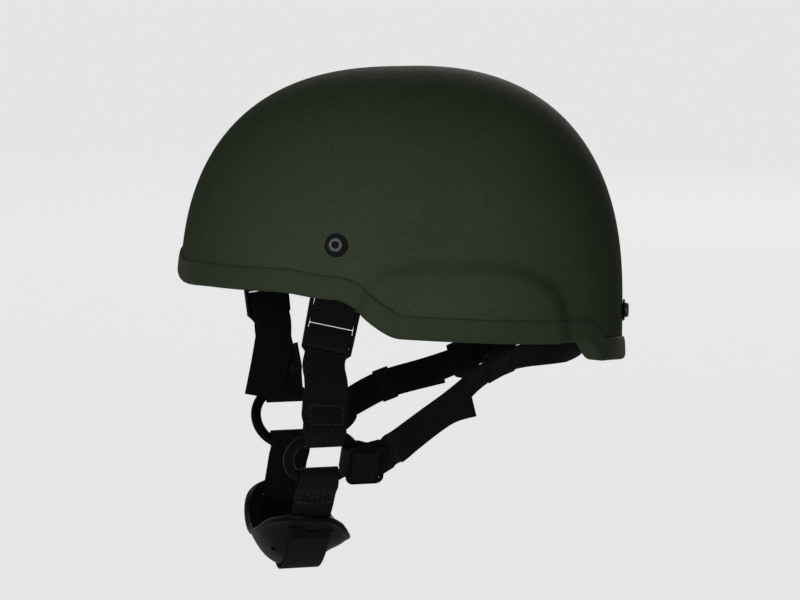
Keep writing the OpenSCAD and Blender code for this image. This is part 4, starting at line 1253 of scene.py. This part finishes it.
class HELMET_OT_pads(bpy.types.Operator):
    """Fit pads, swelled by a cloth simulation, with a sewn binding"""
    bl_idname = "helmet.pads"
    bl_label = "Pads"

    def execute(self, context):
        looks = context.scene.helmet_pads
        cloth = kept(cloth_material, "brushed_cloth", looks.cloth)
        binding = kept(cloth_material, "binding_tape", scaled(looks.cloth, 0.7), 1800)
        for name, t0, u0, *outline in PADS:
            self.swelled(context, looks, name, cloth)
            self.bound(name, t0, u0, outline, binding)
        return {"FINISHED"}

    def swelled(self, context, looks, name, cloth):
        bm = bmesh.new()
        bm.from_mesh(bpy.data.objects[name].data)
        bmesh.ops.remove_doubles(bm, verts=bm.verts, dist=1e-6)
        obj = finish_piece(bm, name + "_cloth", cloth, None, ())
        self.simulate(context, looks, obj)
        sub = obj.modifiers.new("Soft", "SUBSURF")
        sub.levels = sub.render_levels = 1
        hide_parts(name)
        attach(obj, BODY)

    def simulate(self, context, looks, obj, shrink=0.0007, cap=0.0013, steps=12):
        """Swell a pad by pressure from a slightly smaller start, with a cap on how far each point moves."""
        start = obj.modifiers.new("Remesh", "REMESH")
        start.mode = "VOXEL"
        start.voxel_size = looks.voxel
        mesh = apply_modifiers(obj)
        for v in mesh.vertices:
            v.co -= v.normal * shrink
        rest = [v.co.copy() for v in mesh.vertices]
        cloth = obj.modifiers.new("Cloth", "CLOTH")
        cloth.settings.use_pressure = True
        cloth.settings.uniform_pressure_force = looks.pressure
        cloth.settings.tension_stiffness = 40
        cloth.settings.compression_stiffness = 40
        cloth.settings.bending_stiffness = 2
        cloth.settings.effector_weights.gravity = 0
        cloth.collision_settings.use_collision = False
        cloth.point_cache.frame_start = 1
        cloth.point_cache.frame_end = steps + 2
        for step in range(1, steps + 1):
            context.scene.frame_set(step)
        mesh = apply_modifiers(obj)
        for v, r in zip(mesh.vertices, rest):
            move = v.co - r
            if move.length > cap:
                v.co = r + move.normalized() * cap
        mesh.shade_smooth()
        context.scene.frame_set(1)

    def bound(self, name, t0, u0, outline, binding):
        """A round binding along the pad's seam."""
        turns, tape_r, grow, share = 120, 0.75, 1.012, 0.36
        deep = SHELL_T + PAD_STAND + share * PAD_T
        w, h, *shape = outline
        spots = [pad_outline(w, h, *shape, -360 * i / turns) for i in range(turns)]
        centre = [laid(t0, u0, *pad_outline(w * grow, h * grow, *shape, -360 * i / turns), deep)
                  for i in range(turns)]

        def point(i, j):
            i %= turns
            along = (centre[(i + 1) % turns] - centre[i - 1]).normalized()
            side = along.cross(dome_normal(*dome_spot(t0, u0, *spots[i]))).normalized()
            return centre[i] + tape_r * (cosd(45 * j) * side + sind(45 * j) * side.cross(along))

        finish_piece(face_out(bent_grid(turns, 8, point)), name + "_binding", binding, BODY, ())


def pad_outline(w, h, n, wider, a):
    y = h * power(sind(a), n)
    return (w * power(cosd(a), n) * (1 + wider * y / h), y)


def mix_shaders(tree, share, a, b, out):
    mixer = tree.nodes.new("ShaderNodeMixShader")
    for socket, value in zip(mixer.inputs, (share, a.outputs[0], b.outputs[0])):
        tree.links.new(value, socket)
    tree.links.new(mixer.outputs[0], tree.nodes[out].inputs["Surface"])


def aimed(data, aim, azimuth, elevation, distance):
    """An object of this data that looks at a point from an azimuth round from the front and an elevation."""
    way = Vector((sind(azimuth) * cosd(elevation), -cosd(azimuth) * cosd(elevation), sind(elevation)))
    obj = bpy.data.objects.new(data.name, data)
    obj.location = aim + way * distance
    obj.rotation_euler = (-way).to_track_quat("-Z", "Y").to_euler()
    bpy.context.scene.collection.objects.link(obj)
    return obj


class HELMET_OT_stage(bpy.types.Operator):
    """Pale floor, soft lamps and the camera"""
    bl_idname = "helmet.stage"
    bl_label = "Stage"

    def execute(self, context):
        scene, looks = context.scene, context.scene.helmet_stage
        scene.view_settings.view_transform = "Standard"
        self.floor(scene, looks.backdrop, -0.32)
        self.world(scene, looks.backdrop)
        self.lamp("key", 66, 9, 0.95, 0.45, 6.8)
        self.lamp("far_fill", 245, 20, 2.4, 1.2, 38)
        self.camera(scene, looks)
        return {"FINISHED"}

    def seen_rays(self, tree):
        """1 for rays that show the backdrop: straight to the camera, mirrored or through."""
        rays = tree.nodes.new("ShaderNodeLightPath").outputs
        mirrored_rays = maths(tree, "MAXIMUM", rays["Is Glossy Ray"], rays["Is Transmission Ray"])
        return maths(tree, "MAXIMUM", rays["Is Camera Ray"], mirrored_rays)

    def floor(self, scene, pale, height):
        mesh = bpy.data.meshes.new("floor")
        bm = bmesh.new()
        bmesh.ops.create_grid(bm, x_segments=1, y_segments=1, size=30)
        bmesh.ops.translate(bm, verts=bm.verts, vec=(0, 0, height))
        bm.to_mesh(mesh)
        bm.free()
        floor = bpy.data.objects.new("floor", mesh)
        scene.collection.objects.link(floor)
        look = Look("pale_floor", (pale, pale, pale), 1.0, 0.0)
        glow = node(look.tree, "ShaderNodeEmission", Color=(pale, pale, pale, 1), Strength=1.02)
        share = look.maths("MULTIPLY", self.seen_rays(look.tree), 0.97)
        mix_shaders(look.tree, share, look.bsdf, glow, "Material Output")
        mesh.materials.append(look.mat)

    def world(self, scene, pale):
        """A dim white sky that the camera sees as the backdrop."""
        scene.world = bpy.data.worlds.new("studio")
        scene.world.use_nodes = True
        tree = scene.world.node_tree
        back = tree.nodes["Background"]
        back.inputs["Color"].default_value = (1, 1, 1, 1)
        back.inputs["Strength"].default_value = 0.1
        plain_back = node(tree, "ShaderNodeBackground", Color=(pale, pale, pale, 1), Strength=1.0)
        mix_shaders(tree, self.seen_rays(tree), back, plain_back, "World Output")

    def lamp(self, name, azimuth, elevation, distance, size, watts):
        data = bpy.data.lights.new(name, "AREA")
        data.shape = "DISK"
        data.size = size
        data.energy = watts
        aimed(data, Vector((0, 0, -0.12)), azimuth, elevation, distance).visible_camera = False

    def camera(self, scene, looks):
        data = bpy.data.cameras.new("camera")
        data.lens = looks.lens
        data.sensor_width = 36
        data.shift_x = -0.0084
        data.shift_y = 0.0053
        data.clip_start, data.clip_end = 0.05, 100
        scene.camera = aimed(data, Vector((0, 0, SEAT_Z / 1000)), 77, 9, looks.distance)


class HELMET_PT_panel(bpy.types.Panel):
    """Buttons and settings of the helmet"""
    bl_label = "Combat helmet"
    bl_idname = "HELMET_PT_panel"
    bl_space_type = "VIEW_3D"
    bl_region_type = "UI"
    bl_category = "Helmet"

    def draw(self, context):
        for name, settings in SETTINGS:
            box = self.layout.box()
            box.label(text=name.removeprefix("helmet_").capitalize())
            for key in settings.__annotations__:
                box.prop(getattr(context.scene, name), key)
        for operator in OPERATORS:
            self.layout.operator(operator.bl_idname)


SETTINGS = (("helmet_shell", HelmetShellSettings), ("helmet_harness", HelmetHarnessSettings),
            ("helmet_pads", HelmetPadSettings), ("helmet_stage", HelmetStageSettings))
OPERATORS = (HELMET_OT_shell, HELMET_OT_trim, HELMET_OT_screws, HELMET_OT_hangers, HELMET_OT_adjusters,
             HELMET_OT_front_straps, HELMET_OT_rings, HELMET_OT_sliders, HELMET_OT_rear_straps,
             HELMET_OT_nape, HELMET_OT_keeper, HELMET_OT_chin_strap, HELMET_OT_chin_cup,
             HELMET_OT_hook_discs, HELMET_OT_pads, HELMET_OT_stage)


def register():
    for name, group in SETTINGS:
        bpy.utils.register_class(group)
        setattr(bpy.types.Scene, name, bpy.props.PointerProperty(type=group))
    for operator in OPERATORS:
        bpy.utils.register_class(operator)
    bpy.utils.register_class(HELMET_PT_panel)


def unregister():
    bpy.utils.unregister_class(HELMET_PT_panel)
    for operator in reversed(OPERATORS):
        bpy.utils.unregister_class(operator)
    for name, group in reversed(SETTINGS):
        delattr(bpy.types.Scene, name)
        bpy.utils.unregister_class(group)


def main():
    """Build the whole helmet on its stage."""
    register()
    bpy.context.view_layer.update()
    for operator in OPERATORS:
        section, action = operator.bl_idname.split(".")
        getattr(getattr(bpy.ops, section), action)()


if __name__ == "__main__":
    main()
